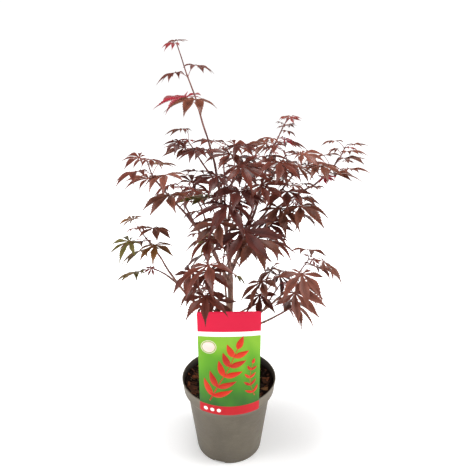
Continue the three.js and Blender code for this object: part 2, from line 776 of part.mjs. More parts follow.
// A mass: its stem, then pairs of leaves or of side twigs, each pair turned a right angle further
function growMass(plan) {
  const owner = `leaves_${plan.on}`;
  const stem = ways[owner];
  const mass = { owner, random: stream(plan.seed), solids: [solidOf(tube(stem, twigSides))] };
  const { pairs, forks = 0, sizes } = plan;
  for (let pair = 1; pair <= pairs; pair += 1) {
    const node = stationAt(stem, (plan.length * pair) / pairs - twigTipRadius);
    const size = THREE.MathUtils.lerp(sizes[0], sizes[1], (pair - 1) / Math.max(1, pairs - 1));
    const grow = pair <= forks ? growSideTwig : growLeaf;
    grow(mass, node, plan.roll + pair * 90, size);
    grow(mass, node, plan.roll + pair * 90 + 180, size);
  }
  const solid = mass.solids.reduce((whole, part) => whole.add(part));
  addPiece(owner, largest(solid), colours.leaves, 0.6);
}

makePot();
makeSoil();
makeCard();
makeTrunk();
boughs.forEach(makeBough);
masses.forEach(layStem);
masses.forEach(growMass);

export default group;
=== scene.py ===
# A young red Japanese maple in its nursery pot, dressed over the CAD frame.
# Plant measures are millimetres as in the CAD, turned to metres when a mesh is made.
# +Z up, front at -Y, and the origin under the middle of the pot.
import math
import bpy
import bmesh
import numpy as np
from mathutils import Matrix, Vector, noise


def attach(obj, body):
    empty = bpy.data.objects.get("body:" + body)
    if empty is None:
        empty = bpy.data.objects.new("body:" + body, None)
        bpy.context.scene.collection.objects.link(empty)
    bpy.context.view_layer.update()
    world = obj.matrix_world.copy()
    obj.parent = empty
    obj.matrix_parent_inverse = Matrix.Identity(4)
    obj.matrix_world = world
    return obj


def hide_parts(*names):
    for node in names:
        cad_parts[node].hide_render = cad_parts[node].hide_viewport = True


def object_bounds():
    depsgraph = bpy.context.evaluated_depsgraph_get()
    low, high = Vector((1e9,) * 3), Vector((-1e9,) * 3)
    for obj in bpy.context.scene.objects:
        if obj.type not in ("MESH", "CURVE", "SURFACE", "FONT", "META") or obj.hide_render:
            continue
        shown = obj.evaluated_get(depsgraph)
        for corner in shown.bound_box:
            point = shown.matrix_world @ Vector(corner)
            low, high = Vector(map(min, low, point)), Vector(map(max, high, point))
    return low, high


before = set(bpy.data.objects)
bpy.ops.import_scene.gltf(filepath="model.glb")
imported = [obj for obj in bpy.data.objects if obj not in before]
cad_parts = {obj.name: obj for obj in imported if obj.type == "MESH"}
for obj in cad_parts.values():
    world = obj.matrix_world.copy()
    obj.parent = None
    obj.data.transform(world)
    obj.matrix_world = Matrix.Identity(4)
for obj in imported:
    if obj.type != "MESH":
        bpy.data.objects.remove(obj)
cadBox = [list(corner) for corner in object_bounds()]
print("frame loaded,", len(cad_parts), "nodes")

degree = math.pi / 180


# Small helpers

def linearColour(hexText):
    parts = [int(hexText[i:i + 2], 16) / 255 for i in (1, 3, 5)]
    return [p / 12.92 if p <= 0.04045 else ((p + 0.055) / 1.055) ** 2.4 for p in parts] + [1]


def newMaterial(name, colour, **settings):
    # gives the material, its tree and where object coordinates come from
    material = bpy.data.materials.new(name)
    material.use_nodes = True
    shader = material.node_tree.nodes["Principled BSDF"]
    shader.inputs["Base Color"].default_value = linearColour(colour)
    for socket, value in settings.items():
        shader.inputs[socket.replace("_", " ")].default_value = value
    where = addNode(material.node_tree, "ShaderNodeTexCoord")
    return material, material.node_tree, where.outputs["Object"]


def addNode(tree, kind, inputs=None, **settings):
    # inputs are plain values, or sockets of other nodes to link
    node = tree.nodes.new(kind)
    for key, value in settings.items():
        setattr(node, key, value)
    for key, value in (inputs or {}).items():
        if isinstance(value, bpy.types.NodeSocket):
            tree.links.new(value, node.inputs[key])
        else:
            node.inputs[key].default_value = value
    return node


def axisOf(tree, place, axis):
    return addNode(tree, "ShaderNodeSeparateXYZ", {0: place}).outputs[axis]


def patches(tree, place, scale, detail=2.0, roughness=0.5):
    inputs = {"Vector": place, "Scale": scale, "Detail": detail, "Roughness": roughness}
    return addNode(tree, "ShaderNodeTexNoise", inputs).outputs["Fac"]


def pores(tree, place, scale, inner, amount):
    dots = addNode(tree, "ShaderNodeTexVoronoi", {"Vector": place, "Scale": scale})
    return spanned(tree, dots.outputs["Distance"], (inner, 0.2), (amount, 0.0))


def stretched(tree, place, scale):
    return addNode(tree, "ShaderNodeMapping", {"Vector": place, "Scale": scale}).outputs[0]


def spanned(tree, value, old=(0.0, 1.0), new=(0.0, 1.0)):
    inputs = {"Value": value, "From Min": old[0], "From Max": old[1],
              "To Min": new[0], "To Max": new[1]}
    return addNode(tree, "ShaderNodeMapRange", inputs).outputs[0]


def maths(tree, operation, *values):
    return addNode(tree, "ShaderNodeMath", dict(enumerate(values)), operation=operation).outputs[0]


def shaded(tree, colour, value):
    return addNode(tree, "ShaderNodeVectorMath", {0: linearColour(colour)[:3], "Scale": value},
                   operation="SCALE").outputs[0]


def painted(tree, share, under, over):
    over = linearColour(over) if isinstance(over, str) else over
    return addNode(tree, "ShaderNodeMix", {0: share, 6: under, 7: over},
                   data_type="RGBA").outputs[2]


def ramped(tree, value, stops, interpolation="LINEAR"):
    node = addNode(tree, "ShaderNodeValToRGB", {"Fac": value})
    ramp = node.color_ramp
    ramp.interpolation = interpolation
    while len(ramp.elements) < len(stops):
        ramp.elements.new(0.5)
    for element, (place, colour) in zip(ramp.elements, stops):
        element.position = place
        element.color = linearColour(colour)
    return node.outputs["Color"]


def paint(tree, colour, height=None, strength=0.0, depth=0.0):
    # links the colour, and a height as fine relief
    shader = tree.nodes["Principled BSDF"]
    tree.links.new(colour, shader.inputs["Base Color"])
    if height is not None:
        bump = addNode(tree, "ShaderNodeBump",
                       {"Height": height, "Strength": strength, "Distance": depth})
        tree.links.new(bump.outputs[0], shader.inputs["Normal"])


def setMaterial(piece, material):
    piece.data.materials.clear()
    piece.data.materials.append(material)


def deselectAll():
    if bpy.context.object and bpy.context.object.mode != "OBJECT":
        bpy.ops.object.mode_set(mode="OBJECT")
    bpy.ops.object.select_all(action="DESELECT")


def useOnly(piece):
    deselectAll()
    piece.select_set(True)
    bpy.context.view_layer.objects.active = piece


def addModifier(piece, kind, **settings):
    modifier = piece.modifiers.new(kind.lower(), kind)
    for key, value in settings.items():
        setattr(modifier, key, value)


def applyModifiers(piece):
    useOnly(piece)
    for modifier in list(piece.modifiers):
        bpy.ops.object.modifier_apply(modifier=modifier.name)


def settle(piece, smoothAngle=35):
    # place, turn and scale go into the mesh
    useOnly(piece)
    bpy.ops.object.transform_apply(location=True, rotation=True, scale=True)
    bpy.ops.object.shade_smooth_by_angle(angle=math.radians(smoothAngle))


def finishPiece(piece, slotName, *replaced):
    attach(piece, "root")
    if replaced:
        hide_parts(*replaced)


def meshFromArrays(name, points, triangles, materials, tones=None, uv=None, smoothAngle=35):
    # points in millimetres, uv one pair for each corner of each triangle
    mesh = bpy.data.meshes.new(name)
    mesh.from_pydata((np.asarray(points) / 1000).tolist(), [], np.asarray(triangles).tolist())
    for material in materials:
        mesh.materials.append(material)
    if tones is not None:
        mesh.polygons.foreach_set("material_index", np.asarray(tones, dtype=np.int32))
    if uv is not None:
        layer = mesh.uv_layers.new(name="along")
        layer.data.foreach_set("uv", np.asarray(uv, dtype=np.float32).ravel())
    mesh.update()
    piece = bpy.data.objects.new(name, mesh)
    bpy.context.collection.objects.link(piece)
    useOnly(piece)
    bpy.ops.object.shade_smooth_by_angle(angle=math.radians(smoothAngle))
    return piece


# Camera, light and floor

studio = {
    "cameraPlace": (0.011, -0.755, 0.695),
    "pitchDown": 20,
    "focalPixels": 490,
    "pictureWidth": 470,
    "sensor": 36,
    "floorColour": "#fefefe",
    # white at the horizon and dimmer overhead, so that the boxes model the leaves
    "air": [(0.24, "#ffffff"), (0.36, "#4c4c4c")],
    "airStrength": 1.04,
    "floorReach": 4,
    # how far out the floor's glow rises, and its strength under the pot and far off; the glow is
    # painted light
    "glowRise": (0.2, 0.9),
    "floorGlow": (0.2, 1.04),
    # name, place, aims at, width, height, watts
    "lights": [
        ("leftBox", (-1.5, -0.5, 1.15), (0, 0, 0.4), 1.0, 1.4, 17),
        ("rightBox", (1.5, -0.2, 1.0), (0, 0, 0.35), 1.0, 1.4, 22),
        ("topBox", (-0.1, -0.1, 2.1), (0, 0, 0.3), 0.9, 0.9, 33),
        ("frontBox", (0.2, -2.2, 1.3), (0, 0, 0.3), 1.4, 1.0, 5),
    ],
}


def makeCamera():
    bpy.ops.object.camera_add(
        location=studio["cameraPlace"],
        rotation=(math.radians(90 - studio["pitchDown"]), 0, 0),
    )
    camera = bpy.context.object
    camera.name = "photoCamera"
    camera.data.lens = studio["focalPixels"] / studio["pictureWidth"] * studio["sensor"]
    camera.data.sensor_width = studio["sensor"]
    camera.data.clip_start = 0.01
    bpy.context.scene.camera = camera


def makeLight():
    world = bpy.data.worlds.new("studioAir")
    world.use_nodes = True
    tree = world.node_tree
    background = tree.nodes["Background"]
    background.inputs["Strength"].default_value = studio["airStrength"]
    around = addNode(tree, "ShaderNodeTexCoord").outputs["Object"]
    air = ramped(tree, axisOf(tree, around, "Z"), studio["air"])
    tree.links.new(air, background.inputs["Color"])
    bpy.context.scene.world = world
    bpy.context.scene.view_settings.view_transform = "Standard"
    for name, place, aim, width, height, watts in studio["lights"]:
        bpy.ops.object.light_add(type="AREA", location=place)
        light = bpy.context.object
        light.name = name
        light.rotation_euler = (Vector(aim) - Vector(place)).to_track_quat("-Z", "Y").to_euler()
        light.data.shape = "RECTANGLE"
        light.data.size = width
        light.data.size_y = height
        light.data.energy = watts


def makeFloor():
    bpy.ops.mesh.primitive_circle_add(vertices=96, radius=studio["floorReach"],
                                      fill_type="TRIFAN")
    floor = bpy.context.object
    floor.name = "paperFloor"
    # seamless white background paper that glows: painted light, faint under the pot so that its
    # shadow is lighter, and full far off, where it runs into the white air
    paper, tree, where = newMaterial("backgroundPaper", studio["floorColour"], Roughness=0.9)
    away = addNode(tree, "ShaderNodeVectorMath", {0: where}, operation="LENGTH").outputs["Value"]
    glow = spanned(tree, away, studio["glowRise"], studio["floorGlow"])
    shader = tree.nodes["Principled BSDF"]
    shader.inputs["Emission Color"].default_value = linearColour(studio["floorColour"])
    tree.links.new(glow, shader.inputs["Emission Strength"])
    floor.data.materials.append(paper)


deselectAll()
makeCamera()
makeLight()
makeFloor()
print("studio ready")


# Growth: the source's rule for trunk, boughs, stems, twigs and leaves

growth = {
    "gap": 0.35,
    "soilTop": 128,
    "limbStep": 20,
    "headingKink": (-7, 7),
    "riseKink": (-3.5, 3.5),
    "boughTip": 1.6,
    "boughTaper": 0.0068,
    "leaderFoot": 4,
    "boughSeeds": 20,
    "stemSeeds": 100,
    "trunkSeed": 5,
    "twigTip": 1.1,
    "twigSpread": (40, 55),
    "twigShare": (0.7, 1),
    "twigClimb": 10,
    "twigLowestRise": -10,
    "twigLeafShare": 0.9,
    "leafSizes": (0.88, 1.12),
    "petioleRadius": 0.95,
    "petioleShare": (0.45, 0.75),
    "petioleSpread": (40, 62),
    "petioleWander": (-25, 25),
    "petioleTurn": 0.8,
    "outwardPull": 0.3,
    "bladeWander": (-15, 15),
    "bladeTilt": (-22, 22),
    "bladeDroop": (-8, 14),
    "bladeArch": (0.04, 0.26),
    "lowLeaves": 300,
    "highLeaves": 540,
    "lowLeafDroop": 30,
    "crease": 0.28,
    "beadStep": 4,
    "beadGap": 1.8,
    "mostBeads": 60000,
    "nearBox": 20,
    "heartBead": 0.12,
    "tries": 10,
    "leavesLowest": 262,
    "cardRoom": 5,
    "cardHalf": 50,
    "cardTop": 326,
    "potRim": 85,
    # foot and tip radius of the bark on a side twig and on a stem
    "twigBark": (1.05, 0.7),
    "stemBark": (1.55, 0.8),
}

trunk = dict(name="trunk", heading=0, rise=90, climb=-1.5, length=211, foot=6, tip=4.7)


def asDicts(names, rows):
    return [dict(zip(names.split(), row)) for row in rows]


# on, how far along it, heading and rise at the foot, length, and change of heading and rise
boughs = asDicts("name on at heading rise length turn climb", [
    ("leader", "trunk", 211, 165, 88, 242, 0, -15),
    ("left", "trunk", 200, -157, 68, 200, 0, -18),
    ("low_left", "trunk", 116, -157, 42, 195, 0, 24),
    ("low_right", "trunk", 112, -32, 36, 166, 10, 24),
    ("low_front", "trunk", 100, -47, 38, 134, 10, 2),
    ("right", "leader", 12, 25, 62, 210, 0, 16),
    ("right_middle", "right", 44, 10, 58, 140, 0, -6),
    ("right_outer", "right", 66, -28, 52, 152, 14, -24),
    ("right_low", "right", 26, -10, 48, 98, 0, 6),
    ("right_upper", "right", 132, -60, 50, 66, 0, 0),
    ("centre", "leader", 96, -25, 60, 40, 0, 0),
    ("centre_front", "leader", 72, -72, 50, 56, 0, 0),
    ("centre_top", "leader", 146, -12, 50, 46, 0, 0),
    ("upper_left", "leader", 162, -145, 56, 34, 0, 0),
    ("left_inner", "left", 126, -150, 66, 40, 0, 0),
    ("low_left_inner", "low_left", 84, -60, 58, 48, 0, 0),
    ("low_left_outer", "low_left", 140, 178, 40, 24, 0, 0),
    ("low", "trunk", 138, -24, 38, 52, 0, 0),
    ("low_near", "trunk", 128, -150, 46, 46, 0, 0),
    ("front", "trunk", 200, -93, 58, 86, 0, 0),
    ("front_right", "leader", 22, -52, 52, 74, 0, 0),
    ("front_upper", "leader", 50, -104, 52, 44, 0, 0),
    ("low_right_inner", "low_right", 92, -8, 66, 26, 0, 0),
    ("back", "leader", 34, 96, 48, 160, 0, 8),
    ("back_right", "right", 30, 66, 48, 150, -8, 8),
    ("back_left", "trunk", 190, 130, 54, 150, 0, 8),
    ("back_upper", "leader", 84, 78, 56, 76, 0, 0),
    ("low_back", "trunk", 128, 100, 36, 110, 0, 10),
])

# the stem, its pairs of leaves, how many pairs fork, the first turn, first and last sizes, seed;
# as in the source, a search outside this file chose pairs, forks, roll, sizes and seed and wrote
# these rows, and the rest of each row is chosen by hand
masses = asDicts("on heading rise length turn climb pairs forks roll sizes seed", [
    ("leader", 178, 72, 140, 6, 2, 3, 0, 60, (53, 21), 393),
    ("left", -160, 54, 60, 30, 22, 3, 0, 60, (47, 30), 5),
    ("right_outer", -20, 46, 72, 80, 14, 4, 0, -35, (46, 25), 407),
    ("low_left", -163, 60, 62, 0, 0, 3, 0, 80, (46, 33), 968),
    ("low_right", -10, 60, 50, 0, 0, 2, 0, -60, (55, 40), 147),
    ("low_front", -28, 40, 26, 0, 0, 3, 0, -10, (61, 51), 326),
    ("right", 16, 62, 60, 0, 0, 3, 0, -10, (26, 13), 783),
    ("right_middle", 0, 58, 30, 0, 0, 3, 1, 35, (54, 43), 53),
    ("right_upper", -40, 56, 40, 0, 0, 2, 0, 80, (46, 38), 381),
    ("right_low", -10, 50, 40, 0, 0, 3, 0, -35, (56, 48), 787),
    ("centre", -40, 62, 52, -40, 0, 3, 1, -60, (56, 47), 57),
    ("centre_front", -60, 56, 34, 0, 0, 3, 0, 10, (66, 56), 940),
    ("centre_top", 0, 56, 34, 0, 0, 3, 0, -10, (53, 44), 578),
    ("upper_left", -150, 56, 60, 0, 0, 3, 0, -10, (45, 35), 302),
    ("left_inner", -110, 70, 36, 0, 0, 2, 0, 10, (50, 42), 68),
    ("low_left_inner", -75, 50, 30, 0, 0, 2, 0, 35, (56, 50), 995),
    ("low_left_outer", 178, 30, 24, 0, 0, 1, 0, -10, (46, 44), 850),
    ("low", -24, 38, 26, 0, 0, 2, 1, 60, (54, 47), 461),
    ("low_near", -150, 40, 26, 0, 0, 3, 0, 35, (46, 42), 532),
    ("front", -93, 58, 44, 0, 0, 3, 1, -10, (63, 59), 496),
    ("front_right", -50, 50, 36, 0, 0, 3, 0, -35, (59, 52), 155),
    ("front_upper", -104, 52, 40, 0, 0, 3, 1, -35, (50, 44), 272),
    ("low_right_inner", -8, 60, 30, 0, 0, 2, 1, -60, (54, 49), 832),
    ("back", 96, 56, 50, 0, 0, 3, 0, 80, (58, 47), 49),
    ("back_right", 58, 52, 50, 0, 0, 3, 0, -60, (53, 43), 851),
    ("back_left", 142, 54, 50, 0, 0, 2, 0, 10, (55, 45), 793),
    ("back_upper", 78, 56, 50, 0, 0, 2, 0, -10, (55, 44), 27),
    ("low_back", 82, 46, 40, 0, 0, 2, 0, -60, (59, 51), 88),
])

# lobes of a leaf: angle from the middle one, length and half width as shares of the leaf
lobes = [(-76, 0.7, 0.1), (-38, 0.93, 0.125), (0, 1, 0.13), (38, 0.93, 0.125), (76, 0.7, 0.1)]
lobeBeads = [(0.3, 0.9), (0.5, 0.9), (0.7, 0.7), (0.87, 0.36), (1, 0.1)]
basal = {"angle": 118, "length": 0.36, "beads": [(0.55, 0.06), (0.95, 0.015)]}

up = np.array([0.0, 0.0, 1.0])


def stream(seed):
    state = [seed * 7919]

    def number():
        state[0] = (state[0] * 1664525 + 1013904223) % 4294967296
        return state[0] / 4294967296

    return number


def draw(random, span):
    return span[0] + random() * (span[1] - span[0])


def mix(a, b, share):
    return (1 - share) * a + share * b


def along(heading, rise):
    level = math.cos(rise * degree)
    return np.array([
        math.cos(heading * degree) * level,
        math.sin(heading * degree) * level,
        math.sin(rise * degree),
    ])


def rightOf(heading):
    return np.array([math.sin(heading * degree), -math.cos(heading * degree), 0.0])


def topOf(heading, rise):
    return np.cross(rightOf(heading), along(heading, rise))


def unit(vector):
    return vector / (np.linalg.norm(vector) or 1)


def sideways(node, spread, roll):
    way = along(node["heading"], node["rise"]) * math.cos(spread * degree)
    aside = math.sin(spread * degree)
    way = way + rightOf(node["heading"]) * (math.cos(roll * degree) * aside)
    return way + topOf(node["heading"], node["rise"]) * (math.sin(roll * degree) * aside)


def walk(limb, start, random, joined=None):
    joined = joined or limb
    turn, climb = limb.get("turn", 0), limb.get("climb", 0)
    count = max(2, math.floor(limb["length"] / growth["limbStep"] + 0.5))
    stations = []
    point = start.copy()
    for i in range(count + 1):
        share = i / count
        bent = 0 if i in (0, count) else 1
        heading = limb["heading"] + turn * share + draw(random, growth["headingKink"]) * bent
        rise = limb["rise"] + climb * share + draw(random, growth["riseKink"]) * bent
        ring = joined if i == 0 else dict(heading=heading, rise=rise)
        stations.append(dict(
            point=point.copy(),
            heading=ring["heading"],
            rise=ring["rise"],
            radius=mix(limb["foot"], limb["tip"], share),
        ))
        point = point + along(heading, rise) * (limb["length"] / count)
    return stations


def stationAt(stations, distance):
    index = 1
    left = distance
    span = np.linalg.norm(stations[1]["point"] - stations[0]["point"])
    while left > span and index < len(stations) - 1:
        left -= span
        index += 1
    first, last = stations[index - 1], stations[index]
    share = min(1, left / span)
    return dict(
        point=first["point"] + (last["point"] - first["point"]) * share,
        heading=mix(first["heading"], last["heading"], share),
        rise=mix(first["rise"], last["rise"], share),
        radius=mix(first["radius"], last["radius"], share),
    )


# room already taken, as beads with an owner each
taken = dict(
    points=np.zeros((growth["mostBeads"], 3)),
    radii=np.zeros(growth["mostBeads"]),
    owners=np.zeros(growth["mostBeads"], int),
    count=0,
)
owners = {}


def ownerNumber(name):
    return owners.setdefault(name, len(owners) + 1)


def take(points, radii, owner):
    start, end = taken["count"], taken["count"] + len(points)
    taken["points"][start:end] = points
    taken["radii"][start:end] = radii
    taken["owners"][start:end] = ownerNumber(owner)
    taken["count"] = end


def meets(points, radii, owner, ownToo, room):
    count = taken["count"]
    others = taken["points"][:count]
    low, high = points.min(axis=0) - growth["nearBox"], points.max(axis=0) + growth["nearBox"]
    near = ((others > low) & (others < high)).all(axis=1)
    if not ownToo:
        near &= taken["owners"][:count] != ownerNumber(owner)
    reach = radii[:, None] + taken["radii"][:count][near][None, :] + room
    apart = ((points[:, None, :] - others[near][None, :, :]) ** 2).sum(axis=2)
    return bool((apart < reach * reach).any())


def limbBeads(stations):
    length = (len(stations) - 1) * np.linalg.norm(stations[1]["point"] - stations[0]["point"])
    count = math.ceil(length / growth["beadStep"])
    places = [stationAt(stations, length * i / count) for i in range(count + 1)]
    return np.array([p["point"] for p in places]), np.array([p["radius"] for p in places])


def hangsLow(points, radii):
    room = growth["cardRoom"] + radii
    beforeCard = (points[:, 1] < room - growth["potRim"]) & (
        np.abs(points[:, 0]) < growth["cardHalf"] + room)
    low = points[:, 2] < growth["leavesLowest"]
    return bool((low | (beforeCard & (points[:, 2] < growth["cardTop"] + room))).any())


def placeLeaf(node, roll, size, random, petioleShare):
    spread = draw(random, growth["petioleSpread"])
    length = size * draw(random, petioleShare)
    first = sideways(node, spread, roll + draw(random, growth["petioleWander"]))
    outward = unit(node["point"] * (1, 1, 0))
    level = first * (1, 1, 0) + outward * growth["outwardPull"]
    heading = math.atan2(level[1], level[0]) / degree + draw(random, growth["bladeWander"])
    low, high = growth["lowLeaves"], growth["highLeaves"]
    sag = growth["lowLeafDroop"] * max(0, 1 - (node["point"][2] - low) / (high - low))
    droop = sag + draw(random, growth["bladeDroop"])
    forward = along(heading, -droop)
    tilt = draw(random, growth["bladeTilt"]) * degree
    side = rightOf(heading) * math.cos(tilt) + topOf(heading, -droop) * math.sin(tilt)
    face = np.cross(side, forward)
    knee = node["point"] + first * (length / 2)
    second = unit(first + forward * growth["petioleTurn"])
    heart = knee + second * (length / 2)
    return dict(foot=node["point"], knee=knee, heart=heart, forward=forward, side=side,
                face=face, size=size, arch=draw(random, growth["bladeArch"]))


def bladePoint(leaf, angle, distance, aside=0, lift=0):
    u = math.cos(angle * degree) * distance - math.sin(angle * degree) * aside
    v = math.sin(angle * degree) * distance + math.cos(angle * degree) * aside
    drop = leaf["arch"] * (u * u + v * v) / leaf["size"]
    point = leaf["heart"] + leaf["forward"] * u + leaf["side"] * v
    return point + leaf["face"] * (abs(aside) * growth["crease"] - drop + lift)


def petioleBeads(leaf, radius):
    points = []
    for start, end in ((leaf["foot"], leaf["knee"]), (leaf["knee"], leaf["heart"])):
        count = math.ceil(np.linalg.norm(end - start) / growth["beadStep"])
        points += [start + (end - start) * (i / count) for i in range(1, count + 1)]
    return np.array(points), np.full(len(points), radius)


def bladeBeads(leaf):
    size = leaf["size"]
    points, radii = [leaf["heart"]], [size * growth["heartBead"]]
    for angle, length, half in lobes:
        for share, wide in lobeBeads:
            points.append(bladePoint(leaf, angle, length * size * share))
            radii.append(half * size * wide)
    for angle in (-basal["angle"], basal["angle"]):
        for share, wide in basal["beads"]:
            points.append(bladePoint(leaf, angle, basal["length"] * size * share))
            radii.append(size * wide)
    return np.array(points), np.array(radii)


ways = {}
leaves = []
shoots = []


def growLeaf(mass, node, roll, size):
    for attempt in range(growth["tries"]):
        share = draw(mass["random"], growth["leafSizes"])
        leaf = placeLeaf(node, roll, size * share, mass["random"], growth["petioleShare"])
        stalk = petioleBeads(leaf, growth["petioleRadius"])
        blade = bladeBeads(leaf)
        room = growth["beadGap"]
        if hangsLow(*blade) or meets(*stalk, mass["owner"], False, room):
            continue
        if not meets(*blade, mass["owner"], True, room):
            take(*stalk, mass["owner"])
            take(*blade, mass["owner"])
            leaves.append(dict(leaf, mass=mass["on"], young=0))
            return


def growSideTwig(mass, node, roll, size):
    way = sideways(node, draw(mass["random"], growth["twigSpread"]), roll)
    limb = dict(
        heading=math.atan2(way[1], way[0]) / degree,
        rise=max(growth["twigLowestRise"], math.asin(way[2]) / degree),
        climb=growth["twigClimb"],
        length=size * draw(mass["random"], growth["twigShare"]),
        foot=growth["twigTip"],
        tip=growth["twigTip"],
    )
    twig = walk(limb, node["point"], mass["random"])
    beads = limbBeads(twig)
    if hangsLow(*beads) or meets(*beads, mass["owner"], False, growth["beadGap"]):
        growLeaf(mass, node, roll, size)
        return
    take(*beads, mass["owner"])
    shoots.append(dict(stations=twig, radii=growth["twigBark"], nodes=[limb["length"] - 1]))
    tip = stationAt(twig, limb["length"] - growth["twigTip"])
    growLeaf(mass, tip, roll + 90, size * growth["twigLeafShare"])
    growLeaf(mass, tip, roll - 90, size * growth["twigLeafShare"])


def growTree():
    start = np.array([0, 0, growth["soilTop"] + growth["gap"]])
    ways["trunk"] = walk(trunk, start, stream(growth["trunkSeed"]))
    take(*limbBeads(ways["trunk"]), "trunk")
    for index, bough in enumerate(boughs):
        spring = stationAt(ways[bough["on"]], bough["at"])
        point = spring["point"]
        if bough["on"] == "trunk" and bough["at"] == trunk["length"]:
            point = point + along(spring["heading"], spring["rise"]) * growth["gap"]
        foot = growth["boughTip"] + bough["length"] * growth["boughTaper"]
        if bough["name"] == "leader":
            foot = growth["leaderFoot"]
        limb = dict(bough, foot=foot, tip=growth["boughTip"])
        ways[bough["name"]] = walk(limb, point, stream(index + growth["boughSeeds"]))
        take(*limbBeads(ways[bough["name"]]), bough["name"])
    for index, mass in enumerate(masses):
        bough = ways[mass["on"]]
        end = bough[-1]
        limb = dict(mass, foot=end["radius"], tip=growth["twigTip"])
        start = end["point"] + along(end["heading"], end["rise"]) * growth["gap"]
        name = "leaves_" + mass["on"]
        ways[name] = walk(limb, start, stream(index + growth["stemSeeds"]), end)
        take(*limbBeads(ways[name]), name)
    for plan in masses:
        stem = ways["leaves_" + plan["on"]]
        mass = dict(on=plan["on"], owner="leaves_" + plan["on"], random=stream(plan["seed"]))
        pairs = plan["pairs"]
        places = []
        for pair in range(1, pairs + 1):
            places.append(plan["length"] * pair / pairs - growth["twigTip"])
            node = stationAt(stem, places[-1])
            size = mix(*plan["sizes"], (pair - 1) / max(1, pairs - 1))
            grow = growSideTwig if pair <= plan["forks"] else growLeaf
            grow(mass, node, plan["roll"] + pair * 90, size)
            grow(mass, node, plan["roll"] + pair * 90 + 180, size)
        shoots.append(dict(stations=stem, radii=growth["stemBark"], nodes=places))


growTree()
print("grown:", len(leaves), "leaves,", len(shoots), "shoots")


# Finer growth: smaller leaves from more nodes along the same limbs

finer = {
    # seeds and sizes were chosen by the same kind of search as the rows of masses
    "seeds": 814,
    "boughFrom": 0.5,
    "boughStep": 19,
    "boughStart": 0.4,
    "stemStep": 12,
    "clearOfNodes": 5,
    "roll": 45,
    "sizes": (0.45, 0.7),
    "petioleShare": (0.45, 0.8),
    "petioleRadius": 0.6,
    "room": 0.5,
    "bladeRoom": 0.8,
    "boxRoom": 1,
    "tries": 8,
    "tipInset": 0.5,
    "tipSizes": (11, 19),
    "tipPetiole": (0.25, 0.45),
    # sprays that are bare between their pairs of leaves
    "bare": ["leader", "left", "low_left", "low_left_outer", "low_right", "low_front",
             "left_inner", "low_right_inner", "low", "front", "upper_left"],
}


def insideBox(points):
    low, high = np.array(cadBox) * 1000 + [[finer["boxRoom"]], [-finer["boxRoom"]]]
    return bool((points > low).all() and (points < high).all())


def growSmallLeaf(plan, random, node, roll, size, young=0):
    owner = "leaves_" + plan["on"]
    petiole = finer["tipPetiole"] if young else finer["petioleShare"]
    for attempt in range(finer["tries"]):
        leaf = placeLeaf(node, roll, size, random, petiole)
        stalk = petioleBeads(leaf, finer["petioleRadius"])
        points, radii = bladeBeads(leaf)
        radii = radii * finer["bladeRoom"]
        if hangsLow(points, radii) or not insideBox(points):
            continue
        if meets(*stalk, owner, False, finer["room"]):
            continue
        if not meets(points[1:], radii[1:], owner, True, finer["room"]):
            take(*stalk, owner)
            take(points, radii, owner)
            leaves.append(dict(leaf, mass=plan["on"], young=young))
            return True
    return False


def growFiner():
    grown = 0
    for plan in masses:
        random = stream(plan["seed"] + finer["seeds"])
        stem = ways["leaves_" + plan["on"]]
        bough = ways[plan["on"]]
        full = next(b["length"] for b in boughs if b["name"] == plan["on"])
        places = [plan["length"] * pair / plan["pairs"] for pair in range(1, plan["pairs"] + 1)]
        nodes = []
        for step in range(1, int(plan["length"] / finer["stemStep"])):
            distance = step * finer["stemStep"]
            if min(abs(distance - place) for place in places) > finer["clearOfNodes"]:
                nodes.append((stem, distance))
        count = int(full * (1 - finer["boughFrom"]) / finer["boughStep"])
        nodes += [(bough, full - (step + finer["boughStart"]) * finer["boughStep"])
                  for step in range(count)]
        if plan["on"] in finer["bare"]:
            nodes = []
        for turn, (limb, distance) in enumerate(nodes):
            node = stationAt(limb, distance)
            roll = plan["roll"] + finer["roll"] + turn * 90
            for side in (0, 180):
                size = mix(*plan["sizes"], 0.5) * draw(random, finer["sizes"])
                grown += growSmallLeaf(plan, random, node, roll + side, size)
        tip = stationAt(stem, plan["length"] - finer["tipInset"])
        for side in (0, 180):
            size = draw(random, finer["tipSizes"])
            grown += growSmallLeaf(plan, random, tip, plan["roll"] + side, size, 1)
    print("finer growth:", grown, "small leaves")


growFiner()


# Leaves: one palmate form, bent a little differently for every leaf

leafForm = {
    # for each lobe: angle, length, half width and number of teeth
    "angles": [-126, -84, -41, 0, 41, 84, 126],
    "lengths": [0.44, 0.75, 0.94, 1, 0.94, 0.75, 0.44],
    "halves": [0.054, 0.1, 0.126, 0.132, 0.126, 0.1, 0.054],
    "teeth": [4, 7, 9, 10, 9, 7, 4],
    # how far out the sinuses between the lobes lie, and how far back the notch at the stalk
    "sinuses": [0.055, 0.07, 0.085, 0.085, 0.07, 0.055],
    "notch": 0.035,
    # half width along a lobe, from the sinus to the long drawn-out tip
    "profile": [(0.1, 0.24), (0.2, 0.42), (0.32, 0.7), (0.45, 0.98), (0.54, 1), (0.68, 0.72),
                (0.83, 0.25), (1, 0)],
    "sinusShare": 0.1,
    "plainRows": (0.15, 0.22),
    "teethFrom": 0.3,
    "teethTo": 0.93,
    "toothPeak": 0.72,
    "toothOut": 0.08,
    "toothIn": 0.06,
    "toothLean": 0.012,
    "toothFade": 1.6,
    "halfThick": 0.14,
    "lengthWander": 0.07,
    "angleWander": 5,
    "sweep": 9,
    "curl": (0.04, 0.2),
    "foldLeast": 1.2,
    "foldMore": 1.1,
    "twist": 0.64,
    "boxRoom": 0.3,
    "pieces": "ABC",
    "seed": 41,
}


